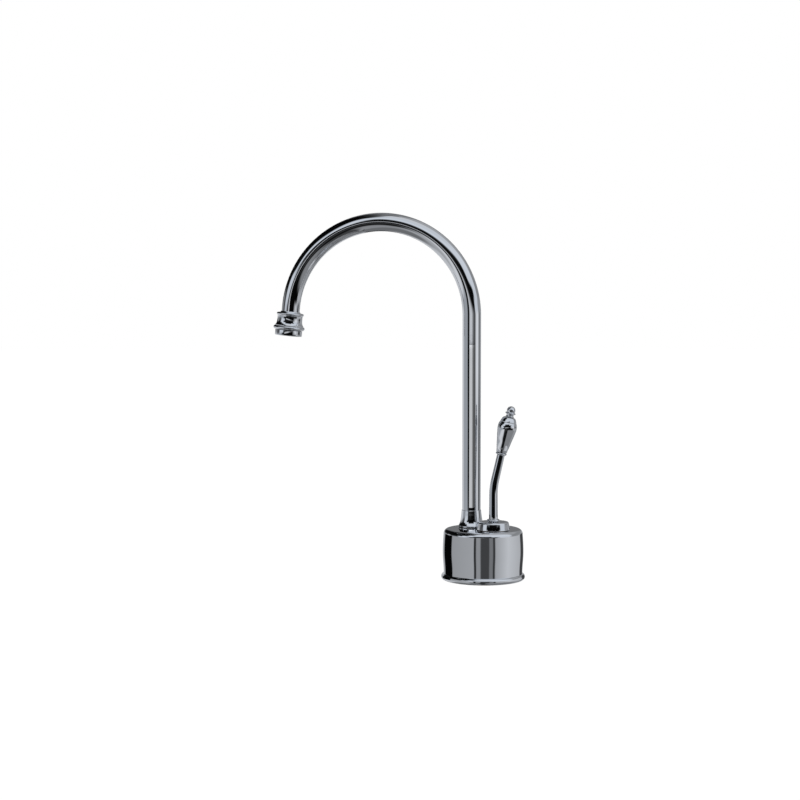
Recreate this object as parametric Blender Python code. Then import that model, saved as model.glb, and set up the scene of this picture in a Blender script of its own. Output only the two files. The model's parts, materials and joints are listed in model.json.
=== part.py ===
"""A deck-mounted cold water dispenser: a round base, a swivelling gooseneck spout and a quarter-turn lever.

Metres, +Z up. The origin is where the base's own axis meets the top of the deck, and the spout points
along -X. Everything below z = 0 hangs under the deck. The pieces of the spout hang from an empty on
the swivel axis, and those of the lever from an empty on the valve axis.
"""

import math

import bmesh
import bpy
from mathutils import Matrix, Vector

MM = 0.001

# Gaps that the pieces keep, and how far a cutter runs past the face that it cuts
SEAT_GAP = 0.3 * MM
BRAZE_GAP = 0.1 * MM
OVERRUN = 1.0 * MM

# The base shell, from the foot to the flat top
FOOT_RADIUS = 28.575 * MM
FOOT_BEAD_RADIUS = 2.2 * MM
WAIST_RADIUS = 26.85 * MM
BULGE_RADIUS = 27.55 * MM
BULGE_HEIGHT = 19.5 * MM
SHOULDER_RADIUS = 27.0 * MM
SHELL_EDGE_RADIUS = 3.3 * MM
SHELL_TOP = 35.1 * MM
SHELL_WALL = 1.8 * MM

# Where the swivel and the valve stand on the base
AXES_TURN = math.radians(35)
SPOUT_OFFSET = 11.4 * MM
VALVE_OFFSET = 9.8 * MM

# Under the shell: gasket, base plate and the screws that hold the plate to the valve block
GASKET_THICKNESS = 2.1 * MM
GASKET_EDGE = 1.0 * MM
BASE_PLATE_THICKNESS = 3.0 * MM
SCREW_RADIUS = 1.5 * MM
SCREW_HEAD_RADIUS = 2.75 * MM
SCREW_HEAD_HEIGHT = 1.5 * MM
SCREW_LENGTH = 9.0 * MM
SCREW_OFFSET = 17.0 * MM
SCREW_SOCKET_RADIUS = 1.1 * MM
SCREW_SOCKET_DEPTH = 0.8 * MM

# The cast valve block
BLOCK_END_RADIUS = 11.0 * MM
SHANK_BORE_DEPTH = 7.6 * MM
VALVE_CHAMBER_RADIUS = 8.2 * MM
VALVE_CHAMBER_DEPTH = 13.7 * MM
SPOUT_SOCKET_RADIUS = 8.0 * MM
SPOUT_SOCKET_DEPTH = 16.7 * MM
INLET_GALLERY_RADIUS = 2.2 * MM
OUTLET_GALLERY_RADIUS = 1.7 * MM
OUTLET_GALLERY_REACH = 4.5 * MM

# The threaded shank and what it carries below the deck
SHANK_RADIUS = 5.55 * MM
SHANK_BORE_RADIUS = 3.6 * MM
SHANK_DROP = 60.0 * MM
DECK_THICKNESS = 30.0 * MM
DECK_WASHER_RADIUS = 17.0 * MM
DECK_WASHER_THICKNESS = 3.0 * MM
BRACE_RADIUS = 20.0 * MM
BRACE_THICKNESS = 2.0 * MM
LOCK_WASHER_RADIUS = 9.3 * MM
LOCK_WASHER_THICKNESS = 2.0 * MM
LOCK_WASHER_SPLIT = 1.2 * MM
MOUNTING_NUT_RADIUS = 10.2 * MM
MOUNTING_NUT_HEIGHT = 8.0 * MM
HEX_BEVEL = 0.5 * MM

# The inlet coupling and its compression nut
COUPLING_RADIUS = 9.2 * MM
COUPLING_HEX_HEIGHT = 13.0 * MM
COUPLING_SOCKET_DEPTH = 9.0 * MM
COUPLING_BORE_RADIUS = 2.4 * MM
COUPLING_SEAL_THICKNESS = 1.2 * MM
NIPPLE_RADIUS = 5.0 * MM
NIPPLE_LENGTH = 8.0 * MM
TUBE_SOCKET_RADIUS = 3.4 * MM
SLEEVE_RADIUS = 4.7 * MM
SLEEVE_LENGTH = 3.0 * MM
COMPRESSION_NUT_RADIUS = 8.2 * MM
COMPRESSION_NUT_LENGTH = 12.0 * MM
COMPRESSION_NUT_FLOOR = 2.0 * MM

# The quarter-turn cartridge
CARTRIDGE_SEAL_THICKNESS = 1.0 * MM
CARTRIDGE_PORT_RADIUS = 5.6 * MM
CARTRIDGE_BODY_HEIGHT = 7.9 * MM
CARTRIDGE_ROOF = 1.4 * MM
CARTRIDGE_NECK_RADIUS = 4.6 * MM
CARTRIDGE_NECK_HEIGHT = 7.4 * MM
CARTRIDGE_WINDOW_RADIUS = 1.3 * MM
DISC_CHAMBER_RADIUS = 6.3 * MM
DISC_THICKNESS = 1.8 * MM
DISC_PORT_RADIUS = 1.2 * MM
DISC_PORT_OFFSET = 4.3 * MM
DISC_SLOT_LENGTH = 8.4 * MM
DISC_SLOT_WIDTH = 2.2 * MM
DISC_SLOT_DEPTH = 0.9 * MM
CARTRIDGE_NUT_FLANGE_RADIUS = 9.6 * MM
CARTRIDGE_NUT_FLANGE_HEIGHT = 0.8 * MM
CARTRIDGE_NUT_HEX_RADIUS = 9.2 * MM
CARTRIDGE_NUT_HEX_HEIGHT = 1.2 * MM

# The spindle that turns the upper disc
SPINDLE_RADIUS = 3.0 * MM
SPINDLE_BORE_RADIUS = 3.3 * MM
SPINDLE_FOOT_RADIUS = 5.7 * MM
SPINDLE_FOOT_HEIGHT = 1.4 * MM
SPINDLE_GRIP = 2.0 * MM
SPINDLE_ORING_RADIUS = 0.45 * MM
SPINDLE_ORING_GROOVE_WIDTH = 1.4 * MM
SPINDLE_ORING_GROOVE_DEPTH = 1.0 * MM
SPINDLE_CLIP_THICKNESS = 0.6 * MM
SPINDLE_CLIP_GROOVE_DEPTH = 0.6 * MM
SPINDLE_CLIP_OPENING = 2.4 * MM
SPINDLE_TAPPED_RADIUS = 1.8 * MM
SPINDLE_TAPPED_DEPTH = 7.4 * MM

# The spout's tail in its socket
TAIL_HEIGHT = 11.2 * MM
TAIL_BORE_RADIUS = 3.6 * MM
TAIL_LAND = 0.8 * MM
TAIL_GROOVE_WIDTH = 2.2 * MM
TAIL_GROOVE_DEPTH = 1.8 * MM
TAIL_WAIST_DEPTH = 1.5 * MM
TAIL_PORT_RADIUS = 1.3 * MM
TAIL_SPIGOT_HEIGHT = 9.0 * MM
SPOUT_ORING_RADIUS = 0.75 * MM
GLIDE_RING_THICKNESS = 0.6 * MM
GLIDE_RING_WIDTH = 1.2 * MM

# The spout tube
TUBE_RADIUS = 6.35 * MM
TUBE_WALL = 1.0 * MM
ARC_CENTRE_HEIGHT = 180.3 * MM
ARC_RADIUS = 64.7 * MM
ARC_SWEEP = math.radians(174)
OUTLET_RUN = 20.74 * MM

# The collar at the foot of the spout
COLLAR_FOOT_RADIUS = 8.9 * MM
COLLAR_FOOT_HEIGHT = 1.1 * MM
COLLAR_NECK_RADIUS = 6.7 * MM
COLLAR_HEIGHT = 11.5 * MM
COLLAR_CONE_HEIGHT = 8.6 * MM

# The nozzle, measured up the tube from the outlet
NOZZLE_FLANGE_RADIUS = 9.5 * MM
NOZZLE_FLANGE_THICKNESS = 1.9 * MM
NOZZLE_WAIST_RADIUS = 8.8 * MM
NOZZLE_RING_RADIUS = 11.0 * MM
NOZZLE_RING_THICKNESS = 2.6 * MM
NOZZLE_FLARE_RADIUS = 9.9 * MM
NOZZLE_HEIGHT = 12.8 * MM
NOZZLE_THREAD_DEPTH = 3.7 * MM
AERATOR_LIP_RADIUS = 9.5 * MM
AERATOR_LIP_HEIGHT = 3.9 * MM
AERATOR_LIP_EDGE = 0.5 * MM
AERATOR_THREAD_RADIUS = 7.9 * MM
AERATOR_THREAD_HEIGHT = 2.7 * MM
AERATOR_BORE_RADIUS = 6.6 * MM
AERATOR_MOUTH_RADIUS = 6.0 * MM
AERATOR_MOUTH_LIP = 0.8 * MM
AERATOR_WASHER_THICKNESS = 0.7 * MM
SCREEN_THICKNESS = 0.5 * MM
STRAIGHTENER_HOLE_RADIUS = 0.85 * MM
STRAIGHTENER_HOLE_PITCH = 2.4 * MM

# The lever: hub, lock ring, curved stem, grip and finial
HUB_FOOT_RADIUS = 11.4 * MM
HUB_SHOULDER_RADIUS = 10.6 * MM
HUB_EDGE_RADIUS = 1.3 * MM
HUB_HEIGHT = 5.3 * MM
HUB_CAVITY_RADIUS = 9.95 * MM
GRUB_SCREW_RADIUS = 1.0 * MM
GRUB_SOCKET_RADIUS = 0.45 * MM
GRUB_SOCKET_DEPTH = 1.5 * MM
GRUB_SINK = 1.6 * MM
GRUB_LEVEL_SHARE = 0.75
LOCK_RING_RADIUS = 4.3 * MM
LOCK_RING_HEIGHT = 1.4 * MM
STEM_FOOT_RADIUS = 3.0 * MM
STEM_TIP_RADIUS = 2.65 * MM
STEM_TAIL_RADIUS = 1.5 * MM
STEM_BEND_HEIGHT = 58.5 * MM
STEM_BEND_RADIUS = 50.0 * MM
STEM_LEAN = math.radians(12.9)
GRIP_HEIGHT_ABOVE_DECK = 86.0 * MM
GRIP_TAIL_LENGTH = 10.0 * MM
GRIP_TAIL_RADIUS = 1.9 * MM
FERRULE_RADIUS = 3.75 * MM
FERRULE_HEIGHT = 1.5 * MM
GRIP_LENGTH = 24.2 * MM
GRIP_RADIUS = 6.5 * MM
GRIP_FOOT_SHARE = 0.57
GRIP_WIDEST_SHARE = 0.70
GRIP_CREASE_SHARE = 0.87
GRIP_CREASE_RADIUS_SHARE = 0.87
GRIP_TOP_RADIUS_SHARE = 0.66
GRIP_CREASE_DEPTH = 0.3 * MM
FINIAL_NECK_RADIUS = 2.4 * MM
FINIAL_NECK_HEIGHT = 2.0 * MM
FINIAL_FLANGE_RADIUS = 3.5 * MM
FINIAL_FLANGE_HEIGHT = 0.9 * MM
FINIAL_BALL_RADIUS = 2.9 * MM
FINIAL_SCREW_RADIUS = 1.5 * MM
FINIAL_SCREW_LENGTH = 8.0 * MM

# How many sides and steps the round pieces get
SHELL_SIDES = 48
TUBE_SIDES = 24
TURNED_SIDES = 24
SMALL_SIDES = 16
PORT_SIDES = 8
HEX_SIDES = 6
ARC_STEPS = 28
BEND_STEPS = 6
EDGE_STEPS = 4
WALL_STEPS = 4
GRIP_STEPS = 5
STRAIGHTENER_RINGS = 2
SMOOTH_ANGLE = math.radians(35)

# Heights that follow from the sizes above
FOOT_BOTTOM = SEAT_GAP
BASE_PLATE_BOTTOM = GASKET_THICKNESS + SEAT_GAP
BASE_PLATE_TOP = BASE_PLATE_BOTTOM + BASE_PLATE_THICKNESS
BLOCK_BOTTOM = BASE_PLATE_TOP + SEAT_GAP
BLOCK_TOP = SHELL_TOP - SHELL_WALL - SEAT_GAP
VALVE_FLOOR = BLOCK_TOP - VALVE_CHAMBER_DEPTH
SOCKET_FLOOR = BLOCK_TOP - SPOUT_SOCKET_DEPTH
SHANK_TOP = BLOCK_BOTTOM + SHANK_BORE_DEPTH - SEAT_GAP
SEAL_TOP = VALVE_FLOOR + SEAT_GAP + CARTRIDGE_SEAL_THICKNESS
CARTRIDGE_BOTTOM = SEAL_TOP + SEAT_GAP
CARTRIDGE_TOP = CARTRIDGE_BOTTOM + CARTRIDGE_BODY_HEIGHT
CARTRIDGE_NECK_TOP = CARTRIDGE_TOP + CARTRIDGE_NECK_HEIGHT
DISC_CHAMBER_TOP = CARTRIDGE_TOP - CARTRIDGE_ROOF
FIXED_DISC_BOTTOM = CARTRIDGE_BOTTOM + SEAT_GAP
MOVING_DISC_BOTTOM = FIXED_DISC_BOTTOM + DISC_THICKNESS + SEAT_GAP
SPINDLE_BOTTOM = MOVING_DISC_BOTTOM + DISC_THICKNESS + SEAT_GAP
WINDOW_HEIGHT = DISC_CHAMBER_TOP - CARTRIDGE_WINDOW_RADIUS
HUB_BOTTOM = SHELL_TOP + SEAT_GAP
HUB_TOP = HUB_BOTTOM + HUB_HEIGHT
CARTRIDGE_NUT_SHOULDER = SHELL_TOP + SEAT_GAP
CARTRIDGE_NUT_TOP = CARTRIDGE_NUT_SHOULDER + CARTRIDGE_NUT_FLANGE_HEIGHT + CARTRIDGE_NUT_HEX_HEIGHT
HUB_CAVITY_TOP = CARTRIDGE_NUT_TOP + SEAT_GAP
SPINDLE_TOP = HUB_CAVITY_TOP + SPINDLE_GRIP
STEM_BOTTOM = HUB_TOP + SEAT_GAP
TAIL_BOTTOM = SOCKET_FLOOR + SEAT_GAP
TAIL_TOP = TAIL_BOTTOM + TAIL_HEIGHT
TUBE_BOTTOM = TAIL_TOP + SEAT_GAP
GLIDE_RING_BOTTOM = SHELL_TOP + SEAT_GAP
COLLAR_BOTTOM = SHELL_TOP + SEAT_GAP
TAIL_RADIUS = SPOUT_SOCKET_RADIUS - SEAT_GAP
TUBE_BORE_RADIUS = TUBE_RADIUS - TUBE_WALL


def clear_scene():
    """Removes whatever the opened file holds."""
    for old in list(bpy.data.objects):
        bpy.data.objects.remove(old, do_unlink=True)


def finish(name, colour, metallic, roughness):
    """Returns a plain Principled material."""
    material = bpy.data.materials.new(name)
    material.use_nodes = True
    shader = material.node_tree.nodes["Principled BSDF"]
    shader.inputs["Base Color"].default_value = (*colour, 1)
    shader.inputs["Metallic"].default_value = metallic
    shader.inputs["Roughness"].default_value = roughness
    material.diffuse_color = (*colour, 1)
    return material


def empty(name, location, parent=None, turn=None):
    """Adds an empty that stands on an axis, which the pieces of that axis hang from."""
    axis = bpy.data.objects.new(name, None)
    bpy.context.collection.objects.link(axis)
    axis.location = location
    if turn:
        axis.rotation_euler = turn
    axis.parent = parent
    return axis


def add_piece(name, mesh, material, parent=None, location=(0, 0, 0)):
    """Makes a named object of a bmesh, with its faces turned outwards and its round sides smooth."""
    bmesh.ops.recalc_face_normals(mesh, faces=mesh.faces)
    data = bpy.data.meshes.new(name)
    mesh.to_mesh(data)
    mesh.free()
    data.shade_smooth()
    data.set_sharp_from_angle(angle=SMOOTH_ANGLE)
    piece = bpy.data.objects.new(name, data)
    bpy.context.collection.objects.link(piece)
    data.materials.append(material)
    piece.location = location
    piece.parent = parent
    return piece


def spun(profile, sides):
    """Spins a closed outline of (radius, height) points round the local Z axis."""
    mesh = bmesh.new()
    points = [mesh.verts.new((radius, 0, height)) for radius, height in profile]
    edges = [mesh.edges.new((a, b)) for a, b in zip(points, points[1:] + points[:1])]
    bmesh.ops.spin(
        mesh, geom=points + edges, cent=(0, 0, 0), axis=(0, 0, 1), angle=math.tau, steps=sides
    )
    bmesh.ops.remove_doubles(mesh, verts=mesh.verts, dist=BRAZE_GAP / 100)
    bmesh.ops.dissolve_degenerate(mesh, edges=mesh.edges, dist=BRAZE_GAP / 100)
    return mesh


def tube_profile(inner, outer, bottom, top):
    """Returns the outline of a plain ring or tube, or of a disc where the inner radius is zero."""
    return [(inner, bottom), (outer, bottom), (outer, top), (inner, top)]


def arc_points(centre, radius, start, end, steps):
    """Returns points along an arc in the (radius, height) plane, with both its ends."""
    turns = (start + (end - start) * step / steps for step in range(steps + 1))
    return [(centre[0] + radius * math.cos(turn), centre[1] + radius * math.sin(turn)) for turn in turns]


def eased(share):
    """Returns a share between 0 and 1 that starts and ends gently."""
    return (1 - math.cos(math.pi * share)) / 2


def ring_of(mesh, centre, along, radius, sides):
    """Adds a ring of points square to a direction that lies in the local XZ plane."""
    across = Vector((0, 1, 0))
    third = along.cross(across).normalized()
    turns = (math.tau * side / sides for side in range(sides))
    return [
        mesh.verts.new(centre + third * (radius * math.cos(turn)) + across * (radius * math.sin(turn)))
        for turn in turns
    ]


def skin(mesh, rings, closed):
    """Joins rings of points with faces, and caps the ends unless the last ring meets the first."""
    following = rings[1:] + rings[:1] if closed else rings[1:]
    for ring, after in zip(rings, following):
        for side, _ in enumerate(ring):
            corner = (side + 1) % len(ring)
            mesh.faces.new((ring[side], ring[corner], after[corner], after[side]))
    if not closed:
        mesh.faces.new(rings[0])
        mesh.faces.new(rings[-1])


def prism(outline, bottom, top):
    """Extrudes a flat outline of (x, y) points upwards."""
    mesh = bmesh.new()
    floor = mesh.faces.new([mesh.verts.new((x, y, bottom)) for x, y in outline])
    grown = bmesh.ops.extrude_face_region(mesh, geom=[floor])
    raised = [part for part in grown["geom"] if isinstance(part, bmesh.types.BMVert)]
    bmesh.ops.translate(mesh, verts=raised, vec=(0, 0, top - bottom))
    return mesh


def polygon(radius, sides, centre=(0, 0)):
    """Returns the corners of a regular polygon."""
    turns = (math.tau * side / sides for side in range(sides))
    return [(centre[0] + radius * math.cos(turn), centre[1] + radius * math.sin(turn)) for turn in turns]


def add_cutter(name, mesh, parent=None, location=(0, 0, 0)):
    """Makes a hidden object that other pieces are cut with."""
    bmesh.ops.recalc_face_normals(mesh, faces=mesh.faces)
    data = bpy.data.meshes.new(name)
    mesh.to_mesh(data)
    mesh.free()
    cutter = bpy.data.objects.new(name, data)
    bpy.context.collection.objects.link(cutter)
    cutter.location = location
    cutter.parent = parent
    cutter.hide_render = True
    cutter.display_type = "WIRE"
    return cutter


def cut(piece, cutter):
    """Cuts one object out of another."""
    modifier = piece.modifiers.new(cutter.name, "BOOLEAN")
    modifier.operation = "DIFFERENCE"
    modifier.solver = "EXACT"
    modifier.object = cutter


def bore(piece, name, radius, bottom, top, parent=None, place=(0, 0), sides=SMALL_SIDES):
    """Cuts an upright round hole between two heights."""
    mesh = prism(polygon(radius, sides, place), bottom, top)
    cut(piece, add_cutter(name, mesh, parent))


def drilling(piece, name, start, end, radius, parent=None):
    """Cuts a straight round hole between two points."""
    start, end = Vector(start), Vector(end)
    mesh = prism(polygon(radius, PORT_SIDES), 0, (end - start).length)
    turn = Vector((0, 0, 1)).rotation_difference(end - start).to_matrix().to_4x4()
    bmesh.ops.transform(mesh, matrix=Matrix.Translation(start) @ turn, verts=mesh.verts)
    cut(piece, add_cutter(name, mesh, parent))


def slot(piece, name, low, high, parent=None):
    """Cuts a square-sided slot between two corners."""
    outline = [(low[0], low[1]), (high[0], low[1]), (high[0], high[1]), (low[0], high[1])]
    cut(piece, add_cutter(name, prism(outline, low[2], high[2]), parent))


def bevel_edges(piece, width, angle):
    """Takes the sharp edges off a prism."""
    modifier = piece.modifiers.new("edges", "BEVEL")
    modifier.width = width
    modifier.segments = 1
    modifier.limit_method = "ANGLE"
    modifier.angle_limit = angle


def on_axes_line(offset):
    """Returns the place at a distance from the base's axis, towards the valve."""
    return Vector((offset * math.cos(AXES_TURN), -offset * math.sin(AXES_TURN), 0))


def shell_outline():
    """Returns the base shell's outline: beaded foot, slightly full side, rounded edge and flat top."""
    bead_centre = (FOOT_RADIUS - FOOT_BEAD_RADIUS, FOOT_BOTTOM + FOOT_BEAD_RADIUS)
    bead_end = math.acos((WAIST_RADIUS - bead_centre[0]) / FOOT_BEAD_RADIUS)
    points = [(WAIST_RADIUS - SHELL_WALL, FOOT_BOTTOM)]
    points += arc_points(bead_centre, FOOT_BEAD_RADIUS, -math.pi / 2, bead_end, 2 * EDGE_STEPS)
    waist_height = points[-1][1]
    shoulder_height = SHELL_TOP - SHELL_EDGE_RADIUS
    for step in range(1, WALL_STEPS + 1):
        share = step / WALL_STEPS
        radius = WAIST_RADIUS + (BULGE_RADIUS - WAIST_RADIUS) * eased(share)
        points.append((radius, waist_height + (BULGE_HEIGHT - waist_height) * share))
    for step in range(1, WALL_STEPS):
        share = step / WALL_STEPS
        radius = SHOULDER_RADIUS + (BULGE_RADIUS - SHOULDER_RADIUS) * math.cos(math.pi / 2 * share)
        points.append((radius, BULGE_HEIGHT + (shoulder_height - BULGE_HEIGHT) * share))
    edge_centre = (SHOULDER_RADIUS - SHELL_EDGE_RADIUS, shoulder_height)
    points += arc_points(edge_centre, SHELL_EDGE_RADIUS, 0, math.pi / 2, EDGE_STEPS)
    points.append((0, SHELL_TOP))
    points.append((0, SHELL_TOP - SHELL_WALL))
    inner_edge = SHELL_EDGE_RADIUS - SHELL_WALL
    points += arc_points(edge_centre, inner_edge, math.pi / 2, 0, 2)
    points.append((WAIST_RADIUS - SHELL_WALL, waist_height))
    return points


def build_shell(chrome, spout_axis, valve_axis):
    """Adds the chromed cover with its two holes."""
    shell = add_piece("base_shell", spun(shell_outline(), SHELL_SIDES), chrome)
    low, high = BLOCK_TOP, SHELL_TOP + OVERRUN
    bore(shell, "shell_spout_hole", SPOUT_SOCKET_RADIUS, low, high, spout_axis, sides=TUBE_SIDES)
    bore(shell, "shell_valve_hole", VALVE_CHAMBER_RADIUS, low, high, valve_axis, sides=TUBE_SIDES)


def build_foot(rubber, steel):
    """Adds the gasket, the base plate and its screws."""
    inner = SHANK_RADIUS + SEAT_GAP
    plate_radius = WAIST_RADIUS - SHELL_WALL - SEAT_GAP
    outline = [(inner, 0), (plate_radius - GASKET_EDGE, 0), (plate_radius, GASKET_EDGE)]
    outline += [(plate_radius, GASKET_THICKNESS), (inner, GASKET_THICKNESS)]
    add_piece("base_gasket", spun(outline, TURNED_SIDES), rubber)
    outline = tube_profile(inner, plate_radius, BASE_PLATE_BOTTOM, BASE_PLATE_TOP)
    plate = add_piece("base_plate", spun(outline, TURNED_SIDES), steel)
    head_top = BASE_PLATE_BOTTOM + SEAT_GAP + SCREW_HEAD_HEIGHT
    for name, side in (("front", 1), ("rear", -1)):
        place = on_axes_line(side * SCREW_OFFSET)
        axis = empty(f"{name}_screw_axis", place)
        bore(plate, f"{name}_screw_hole", SCREW_RADIUS + SEAT_GAP, GASKET_THICKNESS, BLOCK_BOTTOM, axis)
        recess = SCREW_HEAD_RADIUS + SEAT_GAP
        bore(plate, f"{name}_screw_recess", recess, GASKET_THICKNESS, head_top + SEAT_GAP, axis)
        outline = [(0, head_top - SCREW_HEAD_HEIGHT), (SCREW_HEAD_RADIUS, head_top - SCREW_HEAD_HEIGHT)]
        outline += [(SCREW_HEAD_RADIUS, head_top), (SCREW_RADIUS, head_top)]
        outline += [(SCREW_RADIUS, head_top + SCREW_LENGTH), (0, head_top + SCREW_LENGTH)]
        screw = add_piece(f"base_screw_{name}", spun(outline, SMALL_SIDES), steel, axis)
        socket_top = head_top - SCREW_HEAD_HEIGHT + SCREW_SOCKET_DEPTH
        bore(screw, f"{name}_screw_socket", SCREW_SOCKET_RADIUS, GASKET_THICKNESS, socket_top, axis,
             sides=HEX_SIDES)


def block_outline():
    """Returns the valve block's outline: a round end about each axis, with straight sides."""
    outline = []
    for offset, start in ((VALVE_OFFSET, -math.pi / 2), (-SPOUT_OFFSET, math.pi / 2)):
        centre = on_axes_line(offset)
        for step in range(SMALL_SIDES + 1):
            turn = start - AXES_TURN + math.pi * step / SMALL_SIDES
            outline.append(
                (centre.x + BLOCK_END_RADIUS * math.cos(turn), centre.y + BLOCK_END_RADIUS * math.sin(turn))
            )
    return outline


def build_block(brass, spout_axis, valve_axis):
    """Adds the cast block that joins the shank, the valve chamber and the spout's socket."""
    block = add_piece("valve_block", prism(block_outline(), BLOCK_BOTTOM, BLOCK_TOP), brass)
    over = BLOCK_TOP + OVERRUN
    under = BLOCK_BOTTOM - OVERRUN
    shank_hole = SHANK_RADIUS + SEAT_GAP
    bore(block, "block_valve_chamber", VALVE_CHAMBER_RADIUS, VALVE_FLOOR, over, valve_axis, sides=TUBE_SIDES)
    bore(block, "block_spout_socket", SPOUT_SOCKET_RADIUS, SOCKET_FLOOR, over, spout_axis, sides=TUBE_SIDES)
    bore(block, "block_shank_bore", shank_hole, under, SHANK_TOP + SEAT_GAP, sides=TURNED_SIDES)
    for name, side in (("front", 1), ("rear", -1)):
        place = on_axes_line(side * SCREW_OFFSET)
        depth = BASE_PLATE_BOTTOM + 2 * SEAT_GAP + SCREW_HEAD_HEIGHT + SCREW_LENGTH
        bore(block, f"block_{name}_tapping", SCREW_RADIUS + SEAT_GAP, under, depth, place=place.xy)
    valve = on_axes_line(VALVE_OFFSET)
    spout = on_axes_line(-SPOUT_OFFSET)
    start = (0, 0, SHANK_TOP - OVERRUN)
    drilling(block, "block_inlet_gallery", start, valve + Vector((0, 0, VALVE_FLOOR)), INLET_GALLERY_RADIUS)
    start = valve - on_axes_line(OUTLET_GALLERY_REACH) + Vector((0, 0, WINDOW_HEIGHT))
    end = spout + on_axes_line(OUTLET_GALLERY_REACH) + Vector((0, 0, TAIL_BOTTOM + TAIL_HEIGHT / 2))
    drilling(block, "block_outlet_gallery", start, end, OUTLET_GALLERY_RADIUS)


def hex_piece(name, radius, bottom, top, material):
    """Adds a six-sided prism with its edges eased."""
    piece = add_piece(name, prism(polygon(radius, HEX_SIDES), bottom, top), material)
    bevel_edges(piece, HEX_BEVEL, SMOOTH_ANGLE)
    return piece


def build_deck_fixings(brass, steel, rubber):
    """Adds the shank and the washers and nut that draw the base down on the deck."""
    inner = SHANK_RADIUS + SEAT_GAP
    outline = tube_profile(SHANK_BORE_RADIUS, SHANK_RADIUS, -SHANK_DROP, SHANK_TOP)
    add_piece("threaded_shank", spun(outline, TURNED_SIDES), brass)
    top = -DECK_THICKNESS
    outline = tube_profile(inner, DECK_WASHER_RADIUS, top - DECK_WASHER_THICKNESS, top)
    add_piece("deck_washer", spun(outline, TURNED_SIDES), rubber)
    top -= DECK_WASHER_THICKNESS + SEAT_GAP
    outline = tube_profile(0, BRACE_RADIUS, top - BRACE_THICKNESS, top)
    brace = add_piece("brace_washer", spun(outline, TURNED_SIDES), steel)
    under = top - BRACE_THICKNESS - OVERRUN
    bore(brace, "brace_hole", inner, under, top + OVERRUN, sides=TURNED_SIDES)
    slot(brace, "brace_slot", (-inner, 0, under), (inner, BRACE_RADIUS + OVERRUN, top + OVERRUN))
    top -= BRACE_THICKNESS + SEAT_GAP
    outline = tube_profile(inner, LOCK_WASHER_RADIUS, top - LOCK_WASHER_THICKNESS, top)
    washer = add_piece("lock_washer", spun(outline, TURNED_SIDES), steel)
    low = (SHANK_BORE_RADIUS, -LOCK_WASHER_SPLIT / 2, top - LOCK_WASHER_THICKNESS - OVERRUN)
    slot(washer, "washer_split", low, (LOCK_WASHER_RADIUS + OVERRUN, LOCK_WASHER_SPLIT / 2, top + OVERRUN))
    top -= LOCK_WASHER_THICKNESS + SEAT_GAP
    nut = hex_piece("mounting_nut", MOUNTING_NUT_RADIUS, top - MOUNTING_NUT_HEIGHT, top, brass)
    bore(nut, "nut_hole", inner, top - MOUNTING_NUT_HEIGHT - OVERRUN, top + OVERRUN, sides=TURNED_SIDES)


def build_inlet(brass, rubber):
    """Adds the coupling on the shank's end, with the nut and sleeve that grip a supply tube."""
    socket_floor = -SHANK_DROP - SEAT_GAP - COUPLING_SEAL_THICKNESS - SEAT_GAP
    hex_top = socket_floor + COUPLING_SOCKET_DEPTH
    hex_bottom = hex_top - COUPLING_HEX_HEIGHT
    nipple_end = hex_bottom - NIPPLE_LENGTH
    coupling = hex_piece("inlet_coupling", COUPLING_RADIUS, hex_bottom, hex_top, brass)
    nipple = add_cutter("coupling_nipple", prism(polygon(NIPPLE_RADIUS, SMALL_SIDES), nipple_end,
                                                 hex_bottom + OVERRUN))
    join = coupling.modifiers.new("nipple", "BOOLEAN")
    join.operation = "UNION"
    join.object = nipple
    inner = SHANK_RADIUS + SEAT_GAP
    bore(coupling, "coupling_socket", inner, socket_floor, hex_top + OVERRUN, sides=TURNED_SIDES)
    bore(coupling, "coupling_bore", COUPLING_BORE_RADIUS, nipple_end - OVERRUN, hex_top)
    bore(coupling, "coupling_tube_socket", TUBE_SOCKET_RADIUS, nipple_end - OVERRUN, hex_bottom)
    seal_bottom = socket_floor + SEAT_GAP
    outline = tube_profile(SHANK_BORE_RADIUS, SHANK_RADIUS, seal_bottom, seal_bottom + COUPLING_SEAL_THICKNESS)
    add_piece("coupling_seal", spun(outline, SMALL_SIDES), rubber)
    sleeve_top = nipple_end - SEAT_GAP
    sleeve_bottom = sleeve_top - SLEEVE_LENGTH
    outline = tube_profile(TUBE_SOCKET_RADIUS, SLEEVE_RADIUS, sleeve_bottom, sleeve_top)
    add_piece("compression_sleeve", spun(outline, SMALL_SIDES), brass)
    nut_bottom = sleeve_bottom - SEAT_GAP - COMPRESSION_NUT_FLOOR
    nut_top = nut_bottom + COMPRESSION_NUT_LENGTH
    nut = hex_piece("compression_nut", COMPRESSION_NUT_RADIUS, nut_bottom, nut_top, brass)
    bore(nut, "compression_thread", NIPPLE_RADIUS + SEAT_GAP, nut_bottom + COMPRESSION_NUT_FLOOR,
         nut_top + OVERRUN)
    bore(nut, "compression_mouth", TUBE_SOCKET_RADIUS, nut_bottom - OVERRUN, nut_top)


def cartridge_outline():
    """Returns the cartridge body's outline: a chamber for the discs below a narrow neck."""
    outer = VALVE_CHAMBER_RADIUS - SEAT_GAP
    return [
        (DISC_CHAMBER_RADIUS, CARTRIDGE_BOTTOM),
        (outer, CARTRIDGE_BOTTOM),
        (outer, CARTRIDGE_TOP),
        (CARTRIDGE_NECK_RADIUS, CARTRIDGE_TOP),
        (CARTRIDGE_NECK_RADIUS, CARTRIDGE_NECK_TOP),
        (SPINDLE_BORE_RADIUS, CARTRIDGE_NECK_TOP),
        (SPINDLE_BORE_RADIUS, DISC_CHAMBER_TOP),
        (DISC_CHAMBER_RADIUS, DISC_CHAMBER_TOP),
    ]


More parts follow.
